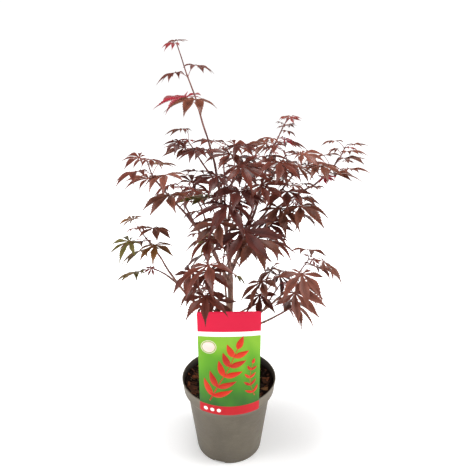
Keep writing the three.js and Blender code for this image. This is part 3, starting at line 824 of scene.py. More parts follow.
def leafTemplate():
    # each corner: lobe, distance along it, distance aside, share along, and which shell it is on
    form = leafForm
    corners, top, uvTop = [], [], []

    def add(lobe, distance, aside, share, shell):
        corners.append((lobe, distance, aside, share, shell))
        return len(corners) - 1

    def face(*marks):
        # each mark is a corner, how far across the lobe it is, and its share along
        top.append([corner for corner, across, share in marks])
        uvTop.append([(across, share) for corner, across, share in marks])

    middle, last, first = len(form["angles"]) // 2, len(form["angles"]) - 1, form["sinusShare"]
    heart = add(middle, 0, 0, 0, 1)
    rim = []
    for i, share in enumerate(form["sinuses"]):
        half = (form["angles"][i + 1] - form["angles"][i]) / 2 * degree
        rim.append(add(i, share * math.cos(half), share * math.sin(half), first, 0))
    back = add(middle, -form["notch"], 0, 0, 0)
    for lobe, length in enumerate(form["lengths"]):
        left = rim[lobe - 1] if lobe > 0 else back
        right = rim[lobe] if lobe < last else back
        pitch = (form["teethTo"] - form["teethFrom"]) / form["teeth"][lobe]
        rows = [(share, 0.0) for share in form["plainRows"]]
        rows.append((form["teethFrom"], -form["toothIn"]))
        for tooth in range(form["teeth"][lobe]):
            start = form["teethFrom"] + tooth * pitch
            rows += [(start + pitch * form["toothPeak"], form["toothOut"]),
                     (start + pitch, -form["toothIn"])]
        mid = add(lobe, first * length, 0, first, 1)
        face((heart, 0.5, 0), (left, 0, first), (mid, 0.5, first))
        face((heart, 0.5, 0), (mid, 0.5, first), (right, 1, first))
        before = first
        for share, tooth in rows:
            wide = float(np.interp(share, *zip(*form["profile"])))
            width = form["halves"][lobe] * (wide + tooth * min(1, wide * form["toothFade"]))
            reach = share + (form["toothLean"] if tooth > 0 else 0)
            newLeft = add(lobe, reach * length, -width, share, 0)
            newMid = add(lobe, share * length, 0, share, 1)
            newRight = add(lobe, reach * length, width, share, 0)
            face((left, 0, before), (newLeft, 0, share), (mid, 0.5, before))
            face((newLeft, 0, share), (newMid, 0.5, share), (mid, 0.5, before))
            face((mid, 0.5, before), (newMid, 0.5, share), (newRight, 1, share))
            face((mid, 0.5, before), (newRight, 1, share), (right, 1, before))
            left, mid, right, before = newLeft, newMid, newRight, share
        tip = add(lobe, length, 0, 1, 0)
        face((left, 0, before), (tip, 0.5, 1), (mid, 0.5, before))
        face((mid, 0.5, before), (tip, 0.5, 1), (right, 1, before))
    # the under shell shares the rim and has its own ribs
    table = np.array(corners)
    ribs = np.flatnonzero(table[:, 4] == 1)
    under = np.arange(len(table))
    under[ribs] = len(table) + np.arange(len(ribs))
    lower = table[ribs].copy()
    lower[:, 4] = -1
    table = np.vstack([table, lower])
    u, v = turnedBy(np.array(form["angles"])[table[:, 0].astype(int)], table[:, 1], table[:, 2])
    top, uvTop = np.array(top), np.array(uvTop)
    a, b, c = top.T
    turned = (v[b] - v[a]) * (u[c] - u[a]) < (v[c] - v[a]) * (u[b] - u[a])
    top[turned] = top[turned][:, ::-1]
    uvTop[turned] = uvTop[turned][:, ::-1]
    return table, np.vstack([top, under[top][:, ::-1]]), np.vstack([uvTop, uvTop[:, ::-1]])


def turnedBy(angle, distance, aside):
    angle = angle * degree
    return (np.cos(angle) * distance - np.sin(angle) * aside,
            np.sin(angle) * distance + np.cos(angle) * aside)


def leafPoints(leaf, table, wander):
    # the same arch and crease as in the source, with a small turn, sweep and curl for each lobe
    form = leafForm
    lobe = table[:, 0].astype(int)
    size = leaf["size"]
    t = table[:, 3]
    grow = 1 + form["lengthWander"] * wander["length"][lobe] * t
    turn = (form["angleWander"] * wander["angle"][lobe] * t
            + form["sweep"] * wander["sweep"][lobe] * t * t)
    aside = table[:, 2] * size
    u, v = turnedBy(np.array(form["angles"])[lobe] + turn, table[:, 1] * size * grow, aside)
    fold = form["foldLeast"] + form["foldMore"] * wander["fold"][lobe]
    lift = np.abs(aside) * growth["crease"] * fold
    lift = lift + aside * form["twist"] * wander["twist"][lobe] * t
    lift = lift - leaf["arch"] * (u * u + v * v) / size
    lift = lift - mix(*form["curl"], wander["curl"][lobe]) * size * t ** 4
    lift = lift + table[:, 4] * form["halfThick"]
    return (leaf["heart"] + u[:, None] * leaf["forward"] + v[:, None] * leaf["side"]
            + lift[:, None] * leaf["face"])


# Leaf colours: plain base colours, dealt out by spray

leafTones = {
    # upper side, underside
    "burgundy": ("#5e2d22", "#673226"),
    "maroon": ("#49201a", "#55281e"),
    "umber": ("#643829", "#683928"),
    "rosewood": ("#744336", "#79493a"),
    "bronze": ("#6e4722", "#6f3e27"),
    "olive": ("#5a5120", "#5e4624"),
    "crimson": ("#8a1f2c", "#8f2a2e"),
    "young": ("#7c2e28", "#853a2c"),
}

# the shares of the tones in each spray; the others have the usual ones
sprayTones = {
    "usual": [("burgundy", 0.5), ("maroon", 0.3), ("umber", 0.2)],
    "leader": [("burgundy", 0.5), ("crimson", 0.3), ("umber", 0.2)],
    "right": [("rosewood", 0.5), ("burgundy", 0.3), ("crimson", 0.2)],
    "right_outer": [("rosewood", 0.5), ("umber", 0.35), ("crimson", 0.15)],
    "right_upper": [("rosewood", 0.4), ("burgundy", 0.6)],
    "right_middle": [("rosewood", 0.3), ("burgundy", 0.4), ("umber", 0.3)],
    "left": [("rosewood", 0.4), ("burgundy", 0.5), ("bronze", 0.1)],
    "front_upper": [("olive", 0.7), ("umber", 0.3)],
    "low_left": [("umber", 0.3), ("olive", 0.3), ("bronze", 0.4)],
    "low_left_outer": [("olive", 0.5), ("bronze", 0.5)],
    "low_right": [("rosewood", 0.7), ("umber", 0.3)],
    "low_right_inner": [("umber", 0.6), ("burgundy", 0.4)],
    "low_front": [("rosewood", 0.4), ("umber", 0.6)],
    # the back sprays take mostly the darkest tone, maroon, as painted shade for the depth of the
    # crown
    "back": [("maroon", 0.6), ("burgundy", 0.4)],
    "back_upper": [("maroon", 0.6), ("burgundy", 0.4)],
    "low_back": [("maroon", 0.6), ("olive", 0.4)],
}

leafSkin = {
    # the side ribs: how many along a lobe, how much they slant, and half their spacing
    "ribs": 13,
    "ribSlant": 3.4,
    "ribPitch": 0.5,
    "ribLight": {False: 0.35, True: 0.3},
    "roughness": {False: 0.4, True: 0.55},
    "cells": (700.0, 3.0),
    "blotches": (60.0, 2.0),
    "blotchShade": (0.68, 1.15),
    # painted shade along the fold and painted light towards the edge: darker by the middle rib,
    # paler at the margins
    "foldShadeEdgeLight": (0.9, -0.22),
}


def makeLeafMaterial(name, colour, under):
    # thin leathery blade with a soft waxy skin: broad dull gloss, fine ribs that show as pale lines
    skin = leafSkin
    material, tree, where = newMaterial(name, colour, Roughness=skin["roughness"][under],
                                        Specular_IOR_Level=0.26)
    place = addNode(tree, "ShaderNodeUVMap", uv_map="along").outputs[0]
    fromRib = maths(tree, "ABSOLUTE", maths(tree, "SUBTRACT", axisOf(tree, place, "X"), 0.5))
    slant = maths(tree, "MULTIPLY", fromRib, skin["ribSlant"])
    steps = maths(tree, "MULTIPLY", axisOf(tree, place, "Y"), skin["ribs"])
    wave = maths(tree, "PINGPONG", maths(tree, "SUBTRACT", steps, slant), skin["ribPitch"])
    ribs = maths(tree, "MAXIMUM", spanned(tree, wave, (0.0, 0.1), (0.7, 0.0)),
                 spanned(tree, fromRib, (0.02, 0.08), (1.0, 0.0)))
    blotches = patches(tree, where, *skin["blotches"])
    shade = spanned(tree, blotches, (0.3, 0.7), skin["blotchShade"])
    # painted shade along the fold and painted light towards the edge
    edge = maths(tree, "MULTIPLY_ADD", fromRib, *skin["foldShadeEdgeLight"])
    ribsFoldShadeAndEdgeLight = maths(tree, "ADD", spanned(tree, ribs, new=(0.0, skin["ribLight"][under])), edge)
    cells = patches(tree, where, *skin["cells"])
    paint(tree, shaded(tree, colour, maths(tree, "ADD", shade, ribsFoldShadeAndEdgeLight)),
          maths(tree, "MULTIPLY_ADD", ribs, -0.6, cells), 0.35, 0.0004)
    return material


def pickTone(choices, value):
    for name, share in choices:
        if value < share:
            return name
        value -= share
    return choices[-1][0]


def makeLeaves():
    table, triangles, uv = leafTemplate()
    random = np.random.default_rng(leafForm["seed"])
    names = list(leafTones)
    materials = []
    for name in names:
        upper, lower = leafTones[name]
        materials.append(makeLeafMaterial(name + "Leaf", upper, False))
        materials.append(makeLeafMaterial(name + "LeafUnder", lower, True))
    lobeCount = len(leafForm["angles"])
    low, high = np.array(cadBox) * 1000 + [[leafForm["boxRoom"]], [-leafForm["boxRoom"]]]
    batches = [([], [], [], []) for letter in leafForm["pieces"]]
    for number, leaf in enumerate(leaves):
        wander = {key: random.uniform(-1, 1, lobeCount)
                  for key in ("length", "angle", "sweep", "twist")}
        wander["curl"] = random.uniform(0, 1, lobeCount)
        wander["fold"] = random.uniform(0, 1, lobeCount)
        choices = sprayTones.get(leaf["mass"], sprayTones["usual"])
        tone = "young" if leaf["young"] else pickTone(choices, random.uniform(0, 1))
        # no tip leaves the box of the frame
        points = np.clip(leafPoints(leaf, table, wander), low, high)
        batch = batches[number * len(batches) // len(leaves)]
        slots = np.full(len(triangles), names.index(tone) * 2)
        slots[len(triangles) // 2:] += 1
        offset = len(batch[0]) * len(table)
        for store, part in zip(batch, (points, triangles + offset, slots, uv)):
            store.append(part)
    replaced = ["leaves_" + mass["on"] for mass in masses]
    for letter, batch in zip(leafForm["pieces"], batches):
        points, faces, slots, uvs = (np.concatenate(part) for part in batch)
        piece = meshFromArrays("foliage" + letter, points, faces, materials, slots, uvs,
                               smoothAngle=50)
        finishPiece(piece, "leaves", *replaced)
        replaced = []
        print(piece.name, len(faces), "triangles")


makeLeaves()


# Stalks and young shoots

# a tube's first ring is set from the up direction, or from the x axis where it starts steeper
# than this, and each end stands out by a share of its radius
tubeForm = {"upright": 0.9, "endShare": 0.5, "smoothAngle": 60}
shootForm = {"step": 3, "sides": 8, "swell": 0.28, "swellLength": 1.8}
budForm = {"rolls": (20, 200), "ways": ((0, 0.4), (34, 1.6), (26, 2.6), (18, 3.6)),
           "radii": [0.4, 0.85, 0.65, 0.12], "sides": 6}
stalkForm = {"steps": 9, "shortestStep": 2.2, "sides": 6, "places": [0, 0.12, 0.8, 1],
             "radii": [0.85, 0.5, 0.5, 0.55], "smallBelow": 25, "smallScale": 0.75,
             # the blade goes on from its stalk where they point nearly the same way
             "straight": 0.35, "underRib": 0.05, "belowBlade": 0.15, "belowRib": 0.1}


def smoothWay(points, step):
    # a curve through the points, with corners about a step apart
    points = [np.asarray(p, float) for p in points]
    points = [2 * points[0] - points[1]] + points + [2 * points[-1] - points[-2]]
    way = []
    for a, b, c, d in zip(points, points[1:], points[2:], points[3:]):
        count = max(1, round(np.linalg.norm(c - b) / step))
        for i in range(count):
            t = i / count
            way.append(0.5 * (2 * b + (c - a) * t + (2 * a - 5 * b + 4 * c - d) * t * t
                              + (3 * b - a - 3 * c + d) * t ** 3))
    way.append(points[-2])
    return np.array(way)


def distancesAlong(way):
    return np.concatenate([[0], np.cumsum(np.linalg.norm(np.diff(way, axis=0), axis=1))])


def swelling(away, amount, length):
    # how much thicker a limb is at these distances from a node
    return 1 + amount * np.exp(-(away / length) ** 2)


def sweepTube(way, radii, sides):
    # a closed round bar along a way, its ends rounded to a point
    steps = np.diff(way, axis=0)
    heads = np.array([unit(v) for v in np.vstack([steps[:1], steps[:-1] + steps[1:], steps[-1:]])])
    other = up if abs(heads[0][2]) < tubeForm["upright"] else np.array([1.0, 0, 0])
    across = unit(np.cross(heads[0], other))
    turns = np.arange(sides) * 2 * math.pi / sides
    rings = []
    for point, head, radius in zip(way, heads, radii):
        across = unit(across - head * across.dot(head))
        beside = np.cross(head, across)
        rings.append(point + radius * (np.cos(turns)[:, None] * across
                                       + np.sin(turns)[:, None] * beside))
    points = np.vstack(rings + [way[:1] - heads[0] * radii[0] * tubeForm["endShare"],
                                way[-1:] + heads[-1] * radii[-1] * tubeForm["endShare"]])
    count = len(way)
    i = np.arange(count - 1)[:, None] * sides
    k = np.arange(sides)
    near, after = i + k, i + (k + 1) % sides
    sideA = np.stack([near, after, after + sides], axis=2).reshape(-1, 3)
    sideB = np.stack([near, after + sides, near + sides], axis=2).reshape(-1, 3)
    low = np.stack([np.full(sides, count * sides), (k + 1) % sides, k], axis=1)
    last = (count - 1) * sides
    high = np.stack([np.full(sides, count * sides + 1), last + k, last + (k + 1) % sides], axis=1)
    return points, np.vstack([sideA, sideB, low, high])


def joinTubes(name, tubes, material):
    offsets = np.cumsum([0] + [len(points) for points, faces in tubes])
    faces = [faces + offset for (points, faces), offset in zip(tubes, offsets)]
    return meshFromArrays(name, np.vstack([points for points, faces in tubes]),
                          np.vstack(faces), [material],
                          smoothAngle=tubeForm["smoothAngle"])


def makeStalks():
    # red leaf stalks: smooth and slightly glossy, redder in patches
    skin, tree, where = newMaterial("redLeafStalk", "#7c3531", Roughness=0.42)
    paint(tree, ramped(tree, patches(tree, where, 55.0),
                       [(0.3, "#5d2a28"), (0.55, "#823a34"), (0.75, "#8f5340")]),
          patches(tree, where, 1500.0), 0.3, 0.0002)
    form = stalkForm
    tubes = []
    for leaf in leaves:
        heart, forward, face = leaf["heart"], leaf["forward"], leaf["face"]
        marks = [leaf["foot"], leaf["knee"], heart - face * form["belowBlade"]]
        # where the blade goes on from its stalk, the stalk runs in under the middle rib
        if unit(heart - leaf["knee"]).dot(forward) > form["straight"]:
            inward = forward * leaf["size"] * form["underRib"]
            marks[2] = heart - inward - face * form["belowBlade"] * 2
            marks.append(heart + inward - face * form["belowRib"])
        length = np.linalg.norm(marks[2] - leaf["foot"])
        way = smoothWay(marks, max(form["shortestStep"], length / form["steps"]))
        scale = form["smallScale"] if leaf["size"] < form["smallBelow"] else 1
        radii = np.interp(np.linspace(0, 1, len(way)), form["places"], form["radii"]) * scale
        tubes.append(sweepTube(way, radii, form["sides"]))
    finishPiece(joinTubes("leafStalks", tubes, skin), "leaves")


def makeShoots():
    # this year's shoots: smooth red-brown skin with small pale pores
    skin, tree, where = newMaterial("youngShootBark", "#6b3a35", Roughness=0.5)
    colour = ramped(tree, patches(tree, where, 40.0, 3.0),
                    [(0.3, "#4f2b2a"), (0.55, "#6d3c36"), (0.8, "#7e5243")])
    dots = pores(tree, where, 420.0, 0.1, 0.55)
    paint(tree, painted(tree, dots, colour, "#a98a76"), dots, 0.5, 0.0003)
    tubes = []
    for shoot in shoots:
        stations = shoot["stations"]
        way = smoothWay([s["point"] for s in stations], shootForm["step"])
        distance = distancesAlong(way)
        radii = mix(*shoot["radii"], distance / distance[-1])
        for node in shoot["nodes"]:
            radii = radii * swelling(distance - node, shootForm["swell"],
                                     shootForm["swellLength"])
        tubes.append(sweepTube(way, radii, shootForm["sides"]))
        # a pair of small buds stands in the leaf axils at each node
        for node in shoot["nodes"]:
            place = stationAt(stations, node)
            for roll in budForm["rolls"]:
                way = [place["point"] + sideways(place, spread, roll) * reach
                       for spread, reach in budForm["ways"]]
                tubes.append(sweepTube(np.array(way), budForm["radii"], budForm["sides"]))
    finishPiece(joinTubes("youngShoots", tubes, skin), "bark")


makeStalks()
makeShoots()
print("stalks and shoots made")


# Trunk and boughs: a round bar for every limb, grown into one skin, then given its bark

wood = {
    "trunkStart": 125,
    "footWider": 1.05,
    "flareRadius": 10.2,
    "flareHeight": 26,
    "step": 3,
    "voxel": 0.83,
    "smoothFactor": 0.5,
    "smoothRounds": 3,
    "collar": 0.4,
    "collarLength": 7,
    # the leader starts a little inside the trunk, about as thick as the trunk's tip
    "leaderSink": 3,
    "leaderRadius": 4.6,
    "leaderTaper": 0.05,
    "nodeEvery": (20, 32),
    "nodesEnd": 6,
    "nodeSwell": 0.14,
    "nodeLength": 2.2,
    "ridge": 0.42,
    "ridgeScale": 0.32,
    "ridgeStretch": 0.07,
    "grain": 0.1,
    "grainScale": 0.9,
    "grainStretch": 0.8,
    # relief is full below the first height, and fades over the second to the share
    "oldBelow": 130,
    "fadeOver": 330,
    "youngRelief": 0.22,
    "stub": dict(at=195, heading=-170, rise=55, length=9, radii=[2.4, 2.4, 2.0]),
    "seed": 12,
}


def addLimbBar(name, points, radii):
    curve = bpy.data.curves.new(name, "CURVE")
    curve.dimensions = "3D"
    curve.bevel_depth = 0.001
    curve.bevel_resolution = 3
    curve.use_fill_caps = True
    line = curve.splines.new("POLY")
    line.points.add(len(points) - 1)
    for corner, point, radius in zip(line.points, points, radii):
        corner.co = (*(point / 1000), 1)
        corner.radius = radius
    bar = bpy.data.objects.new(name, curve)
    bpy.context.collection.objects.link(bar)
    return bar


def limbBar(name, random):
    stations = ways[name]
    way = smoothWay([s["point"] for s in stations], wood["step"])
    distance = distancesAlong(way)
    radii = mix(stations[0]["radius"], stations[-1]["radius"], distance / distance[-1])
    place = random.uniform(*wood["nodeEvery"])
    while place < distance[-1] - wood["nodesEnd"]:
        radii = radii * swelling(distance - place, wood["nodeSwell"], wood["nodeLength"])
        place += random.uniform(*wood["nodeEvery"])
    if name == "trunk":
        height = np.clip(distance / wood["flareHeight"], 0, 1)
        radii = radii + (wood["flareRadius"] - trunk["foot"]) * (1 - height) ** 2
        way = np.vstack([way[:1] - (0, 0, way[0][2] - wood["trunkStart"]), way])
        radii = np.concatenate([radii[:1] * wood["footWider"], radii])
    else:
        radii = radii * (1 + wood["collar"] * np.exp(-distance / wood["collarLength"]))
    if name == "leader":
        way[0] -= (0, 0, wood["leaderSink"])
        radii = np.maximum(radii, wood["leaderRadius"] - distance * wood["leaderTaper"])
    return addLimbBar(name + "Bar", way, radii)


def makeWood():
    random = np.random.default_rng(wood["seed"])
    bars = [limbBar(name, random) for name in ["trunk"] + [bough["name"] for bough in boughs]]
    stub = wood["stub"]
    foot = stationAt(ways["trunk"], stub["at"])["point"]
    tip = foot + along(stub["heading"], stub["rise"]) * stub["length"]
    bars.append(addLimbBar("stubBar", [foot, (foot + tip) / 2, tip], stub["radii"]))
    deselectAll()
    for bar in bars:
        bar.select_set(True)
    bpy.context.view_layer.objects.active = bars[0]
    bpy.ops.object.convert(target="MESH")
    bpy.ops.object.join()
    bark = bpy.context.object
    bark.name = "trunkAndBoughs"
    addModifier(bark, "REMESH", mode="VOXEL", voxel_size=wood["voxel"] / 1000)
    addModifier(bark, "SMOOTH", factor=wood["smoothFactor"],
                iterations=wood["smoothRounds"])
    applyModifiers(bark)
    addRidges(bark.data)
    setMaterial(bark, makeBark())
    settle(bark, smoothAngle=80)
    finishPiece(bark, "bark", "trunk", *("bough_" + bough["name"] for bough in boughs))
    print("wood made,", len(bark.data.polygons), "faces")


def addRidges(mesh):
    # long shallow ridges that run up the limb, deepest on the old trunk
    count = len(mesh.vertices)
    points = np.zeros(count * 3, dtype=np.float32)
    normals = np.zeros(count * 3, dtype=np.float32)
    mesh.vertices.foreach_get("co", points)
    mesh.vertices.foreach_get("normal", normals)
    points, normals = points.reshape(-1, 3) * 1000, normals.reshape(-1, 3)
    fine, slow = wood["ridgeScale"], wood["ridgeStretch"]
    relief = np.array([noise.noise(Vector((x * fine, y * fine, z * slow))) for x, y, z in points])
    grain = np.array([noise.noise(Vector((x, y, z * wood["grainStretch"])) * wood["grainScale"])
                      for x, y, z in points])
    age = np.clip(1 - (points[:, 2] - wood["oldBelow"]) / wood["fadeOver"], wood["youngRelief"], 1)
    push = (relief * wood["ridge"] + grain * wood["grain"]) * age
    points = (points + normals * push[:, None]) / 1000
    mesh.vertices.foreach_set("co", points.astype(np.float32).ravel())
    mesh.update()


def makeBark():
    # young maple bark: thin, dull and smooth, brown-mauve with pale stripes along the trunk
    material, tree, where = newMaterial("mapleBark", "#6f564c", Roughness=0.72,
                                        Specular_IOR_Level=0.35)
    # stripes about 3 mm wide and 40 mm long
    stretch = stretched(tree, where, (1.0, 1.0, 0.08))
    stripes = patches(tree, stretch, 330.0, 3.0, 0.55)
    old = ramped(tree, stripes, [(0.33, "#50362f"), (0.5, "#78564a"), (0.64, "#a07c6c"),
                                 (0.8, "#b89a89")])
    young = ramped(tree, stripes, [(0.33, "#4a2b2a"), (0.52, "#66403a"), (0.75, "#7f5a4c")])
    height = spanned(tree, axisOf(tree, where, "Z"), (0.3, 0.46))
    dots = pores(tree, where, 260.0, 0.08, 0.6)
    grain = maths(tree, "MULTIPLY_ADD", dots, 0.6, patches(tree, stretch, 1100.0, 4.0))
    paint(tree, painted(tree, dots, painted(tree, height, old, young), "#b39c86"), grain,
          0.6, 0.0006)
    return material


makeWood()


# Pot: drawn up ring by ring from its underside, then cut for notches and drain holes

pot = {
    "sides": 120,
    "footRadius": 60.5,
    "notches": 3,
    "notchHeading": -107,
    "notchWidth": 20,
    "notchDepth": 12,
    "notchHeight": 3.5,
    "notchEdge": 0.8,
    "cutRoom": 6,
    "holes": 6,
    "holeRadius": 4,
    "holeSides": 28,
    "holeCut": 30,
    "holeRing": 44,
    # radius, height and rounding of each corner, from the underside's middle disc to the inside
    "profile": [
        (38, 0, 0.4), (39, 3.5, 0.5), (49, 3.5, 0.5), (50, 0, 0.4), (60.2, 0, 2.2),
        (74.7, 115, 2.5), (75.6, 117.4, 1.2), (82.3, 125.6, 2.2), (84.1, 145.2, 0.6),
        (84.95, 145.7, 0.4), (84.95, 148, 0.7), (82.9, 148, 0.5), (80.4, 126.4, 2),
        (73, 115.6, 2), (58.6, 5.7, 1.5), (37, 5.7, 0.5), (36, 2.2, 0.5),
    ],
}


# steps of an arc, and how much longer than the arc's reach each side of a corner has to be
rounding = {"steps": 4, "room": 2.1}


def bentLine(first, corner, last, steps):
    # an arc from first to last that leans towards the corner
    return [(1 - t) ** 2 * first + 2 * t * (1 - t) * corner + t * t * last
            for t in (i / steps for i in range(steps + 1))]


def roundedProfile(corners):
    # every corner becomes a short arc, except the first and last
    rounded = [np.array(corners[0][:2], float)]
    for (r0, z0, _), (r1, z1, bend), (r2, z2, _) in zip(corners, corners[1:], corners[2:]):
        before, corner, after = np.array([r0, z0]), np.array([r1, z1]), np.array([r2, z2])
        shorter = min(np.linalg.norm(corner - before), np.linalg.norm(after - corner))
        reach = min(bend, shorter / rounding["room"])
        rounded += bentLine(corner + unit(before - corner) * reach, corner,
                            corner + unit(after - corner) * reach, rounding["steps"])
    rounded.append(np.array(corners[-1][:2], float))
    return rounded


def drawUp(name, profile, sides):
    # a disc whose edge is drawn out ring after ring, and closed by its last disc
    radius, height = profile[0]
    bpy.ops.mesh.primitive_circle_add(vertices=sides, radius=radius / 1000,
                                      location=(0, 0, height / 1000), fill_type="NGON")
    piece = bpy.context.object
    piece.name = name
    piece.data.name = name
    bpy.ops.object.mode_set(mode="EDIT")
    for nextRadius, nextHeight in profile[1:]:
        rise = (nextHeight - height) / 1000
        bpy.ops.mesh.extrude_region_move(TRANSFORM_OT_translate={"value": (0, 0, rise)})
        scale = nextRadius / radius
        bpy.ops.transform.resize(value=(scale, scale, 1), center_override=(0, 0, nextHeight / 1000))
        radius, height = nextRadius, nextHeight
    bpy.ops.mesh.select_all(action="SELECT")
    bpy.ops.mesh.normals_make_consistent(inside=False)
    bpy.ops.object.mode_set(mode="OBJECT")
    bpy.ops.object.transform_apply(location=True)
    return piece


def cutAway(piece, cutter):
    addModifier(piece, "BOOLEAN", operation="DIFFERENCE", solver="EXACT", object=cutter)
    applyModifiers(piece)
    bpy.data.objects.remove(cutter)
    deselectAll()


def outTo(heading, reach):
    return math.cos(heading) * reach, math.sin(heading) * reach, 0


def makePot():
    deselectAll()
    body = drawUp("nurseryPot", roundedProfile(pot["profile"]), pot["sides"])
    for i in range(pot["notches"]):
        heading = math.radians(pot["notchHeading"] + 360 / pot["notches"] * i)
        reach = (pot["footRadius"] - pot["notchDepth"] / 2 + pot["cutRoom"]) / 1000
        bpy.ops.mesh.primitive_cube_add(
            size=1, location=outTo(heading, reach), rotation=(0, 0, heading),
            scale=((pot["notchDepth"] + pot["cutRoom"] * 2) / 1000, pot["notchWidth"] / 1000,
                   pot["notchHeight"] * 2 / 1000))
        cutter = bpy.context.object
        bpy.ops.object.transform_apply(location=True, rotation=True, scale=True)
        bpy.ops.object.mode_set(mode="EDIT")
        bpy.ops.mesh.select_all(action="SELECT")
        bpy.ops.mesh.bevel(offset=pot["notchEdge"] / 1000, segments=3)
        bpy.ops.object.mode_set(mode="OBJECT")
        cutAway(body, cutter)
    for i in range(pot["holes"]):
        heading = math.radians(pot["notchHeading"] + 360 / pot["holes"] * (i + 0.5))
        bpy.ops.mesh.primitive_cylinder_add(
            vertices=pot["holeSides"], radius=pot["holeRadius"] / 1000,
            depth=pot["holeCut"] / 1000, location=outTo(heading, pot["holeRing"] / 1000))
        cutAway(body, bpy.context.object)
    setMaterial(body, makePotPlastic())
    settle(body, smoothAngle=32)
    finishPiece(body, "pot", "pot")
    print("pot made,", len(body.data.polygons), "faces")


def makePotPlastic():
    # recycled polypropylene, injection moulded: dull taupe, faint mottling, scuffed at rim and
    # foot, with painted shade inside
    material, tree, where = newMaterial("recycledPolypropylene", "#575148", Roughness=0.5,
                                        IOR=1.49, Specular_IOR_Level=0.45)
    height = axisOf(tree, where, "Z")
    cloud = patches(tree, where, 16.0, 4.0, 0.6)
    colour = ramped(tree, cloud, [(0.3, "#4f483b"), (0.5, "#574f41"), (0.7, "#605848")])
    # fine grey specks from the recycled stock, about 0.8 mm
    specks = spanned(tree, patches(tree, where, 900.0, 1.0), (0.62, 0.72), (0.0, 0.35))
    colour = painted(tree, specks, colour, "#7a7366")
    # rubbed paler along the rim, where pots are stacked and carried
    rim = spanned(tree, height, (0.1215, 0.1475), (0.0, 0.42))
    scuffs = patches(tree, stretched(tree, where, (1.0, 1.0, 5.0)), 70.0, 6.0, 0.7)
    colour = painted(tree, maths(tree, "MULTIPLY", rim, scuffs), colour, "#9a917f")
    # dry compost dust near the foot
    foot = spanned(tree, height, (0.0, 0.03), (0.45, 0.0))
    colour = painted(tree, maths(tree, "MULTIPLY", foot, cloud), colour, "#453d33")
    # painted shade with some compost dirt on the inside of the wall: near black just above the
    # soil, a little less up to the rim, for the shadow inside the pot
    level = addNode(tree, "ShaderNodeVectorMath", {0: where, 1: (1, 1, 0)}, operation="MULTIPLY")
    away = addNode(tree, "ShaderNodeVectorMath", {0: level.outputs[0]}, operation="LENGTH")
    wall = maths(tree, "MULTIPLY_ADD", height, 0.1157, 0.0658)
    beyond = maths(tree, "SUBTRACT", away.outputs["Value"], wall)
    inside = spanned(tree, beyond, (0.0005, 0.0011), (1.0, 0.0))
    above = spanned(tree, height, (0.1262, 0.1272))
    shadeTowardsSoil = spanned(tree, height, (0.138, 0.148), (1.0, 0.6))
    paintedInsideShade = maths(tree, "MULTIPLY", maths(tree, "MULTIPLY", inside, above), shadeTowardsSoil)
    # the near black painted shade inside the pot goes into the colour here
    # mould grain, drawn at 0.7 mm so that it shows
    paint(tree, painted(tree, paintedInsideShade, colour, "#1a110b"), patches(tree, where, 1400.0), 0.22, 0.0003)
    tree.links.new(spanned(tree, scuffs, (0.3, 0.7), (0.44, 0.6)),
                   tree.nodes["Principled BSDF"].inputs["Roughness"])
    return material


makePot()


# Soil: damp peat with bark chips and a few fibres on top

soil = {
    "profile": [(35.6, 2.6, 0), (36.6, 6.1, 0.4), (58.1, 6.1, 1), (72.6, 116, 1),
                (80, 126.2, 1), (81.1, 135, 0.5)],
    "rings": [79.6, 77, 74, 71, 67, 63, 58, 53, 48, 43, 38, 33, 28, 23, 18, 14, 10, 6, 3],
    # the rings of the surface are drawn at one height, then let down to the level
    "ringsAt": 140,
    # flat round the trunk and heaped up against the wall: radii and heights
    "level": ([34, 52, 66, 76, 81], [127.5, 128.4, 130.6, 134.4, 136.6]),
    "sides": 112,
    # scale, layer of the noise and height of the broad lumps and of the crumbs
    "relief": [(0.09, 3.1, 1.5), (0.42, 7.7, 0.7)],
    "chips": 460,
    "chipLength": (4, 13),
    "chipShares": (0.3, 0.7),
    "chipThick": (0.9, 2.4),
    "chipRagged": 0.16,
    "chipLean": 0.22,
    "chipSunk": 0.25,
    "chipNearest": 0.02,
    "chipReach": 80,
    "fibres": 34,
    "fibreNearest": 0.05,
    "fibreReach": 70,
    "fibreSteps": 6,
    "fibreStep": 2.4,
    "fibreBend": 0.45,
    "fibreRadius": 0.2,
    "fibreSmooth": 1.2,
    "fibreSides": 5,
    "fibreRise": (1.1, 0.5, 1.7),
    "fibreEnd": 79,
    "headings": (0, 6.3),
    "seed": 7,
}

# name, colour, and the share of the chips that have it
chipTones = [("freshPineBark", "#703f24", 0.2), ("agedPineBark", "#472818", 0.32),
             ("darkPineBark", "#27160f", 0.4), ("palePineBark", "#805838", 0.08)]


def soilLevel(x, y):
    return np.interp(np.hypot(x, y), *soil["level"])


def soilHeight(x, y):
    height = float(soilLevel(x, y))
    for scale, layer, size in soil["relief"]:
        height += noise.noise(Vector((x * scale, y * scale, layer))) * size
    return height


def makeSoil():
    deselectAll()
    corners = roundedProfile(soil["profile"])
    corners += [np.array([radius, soil["ringsAt"]]) for radius in soil["rings"]]
    bed = drawUp("pottingSoil", corners, soil["sides"])
    for vertex in bed.data.vertices:
        if vertex.co.z * 1000 > soil["ringsAt"] - 0.5:
            vertex.co.z = soilHeight(vertex.co.x * 1000, vertex.co.y * 1000) / 1000
    # damp peat compost: nearly black crumbs with brown fibre, no gloss
    peat, tree, where = newMaterial("dampPeat", "#1a0e0a", Roughness=0.95, Specular_IOR_Level=0.1)
    crumbs = patches(tree, where, 420.0, 6.0, 0.7)
    paint(tree, ramped(tree, crumbs, [(0.35, "#0c0605"), (0.52, "#1b0f0a"), (0.66, "#2b1a12"),
                                      (0.8, "#45291b")]), crumbs, 1.0, 0.002)
    setMaterial(bed, peat)
    settle(bed, smoothAngle=50)
    finishPiece(bed, "soil", "soil")


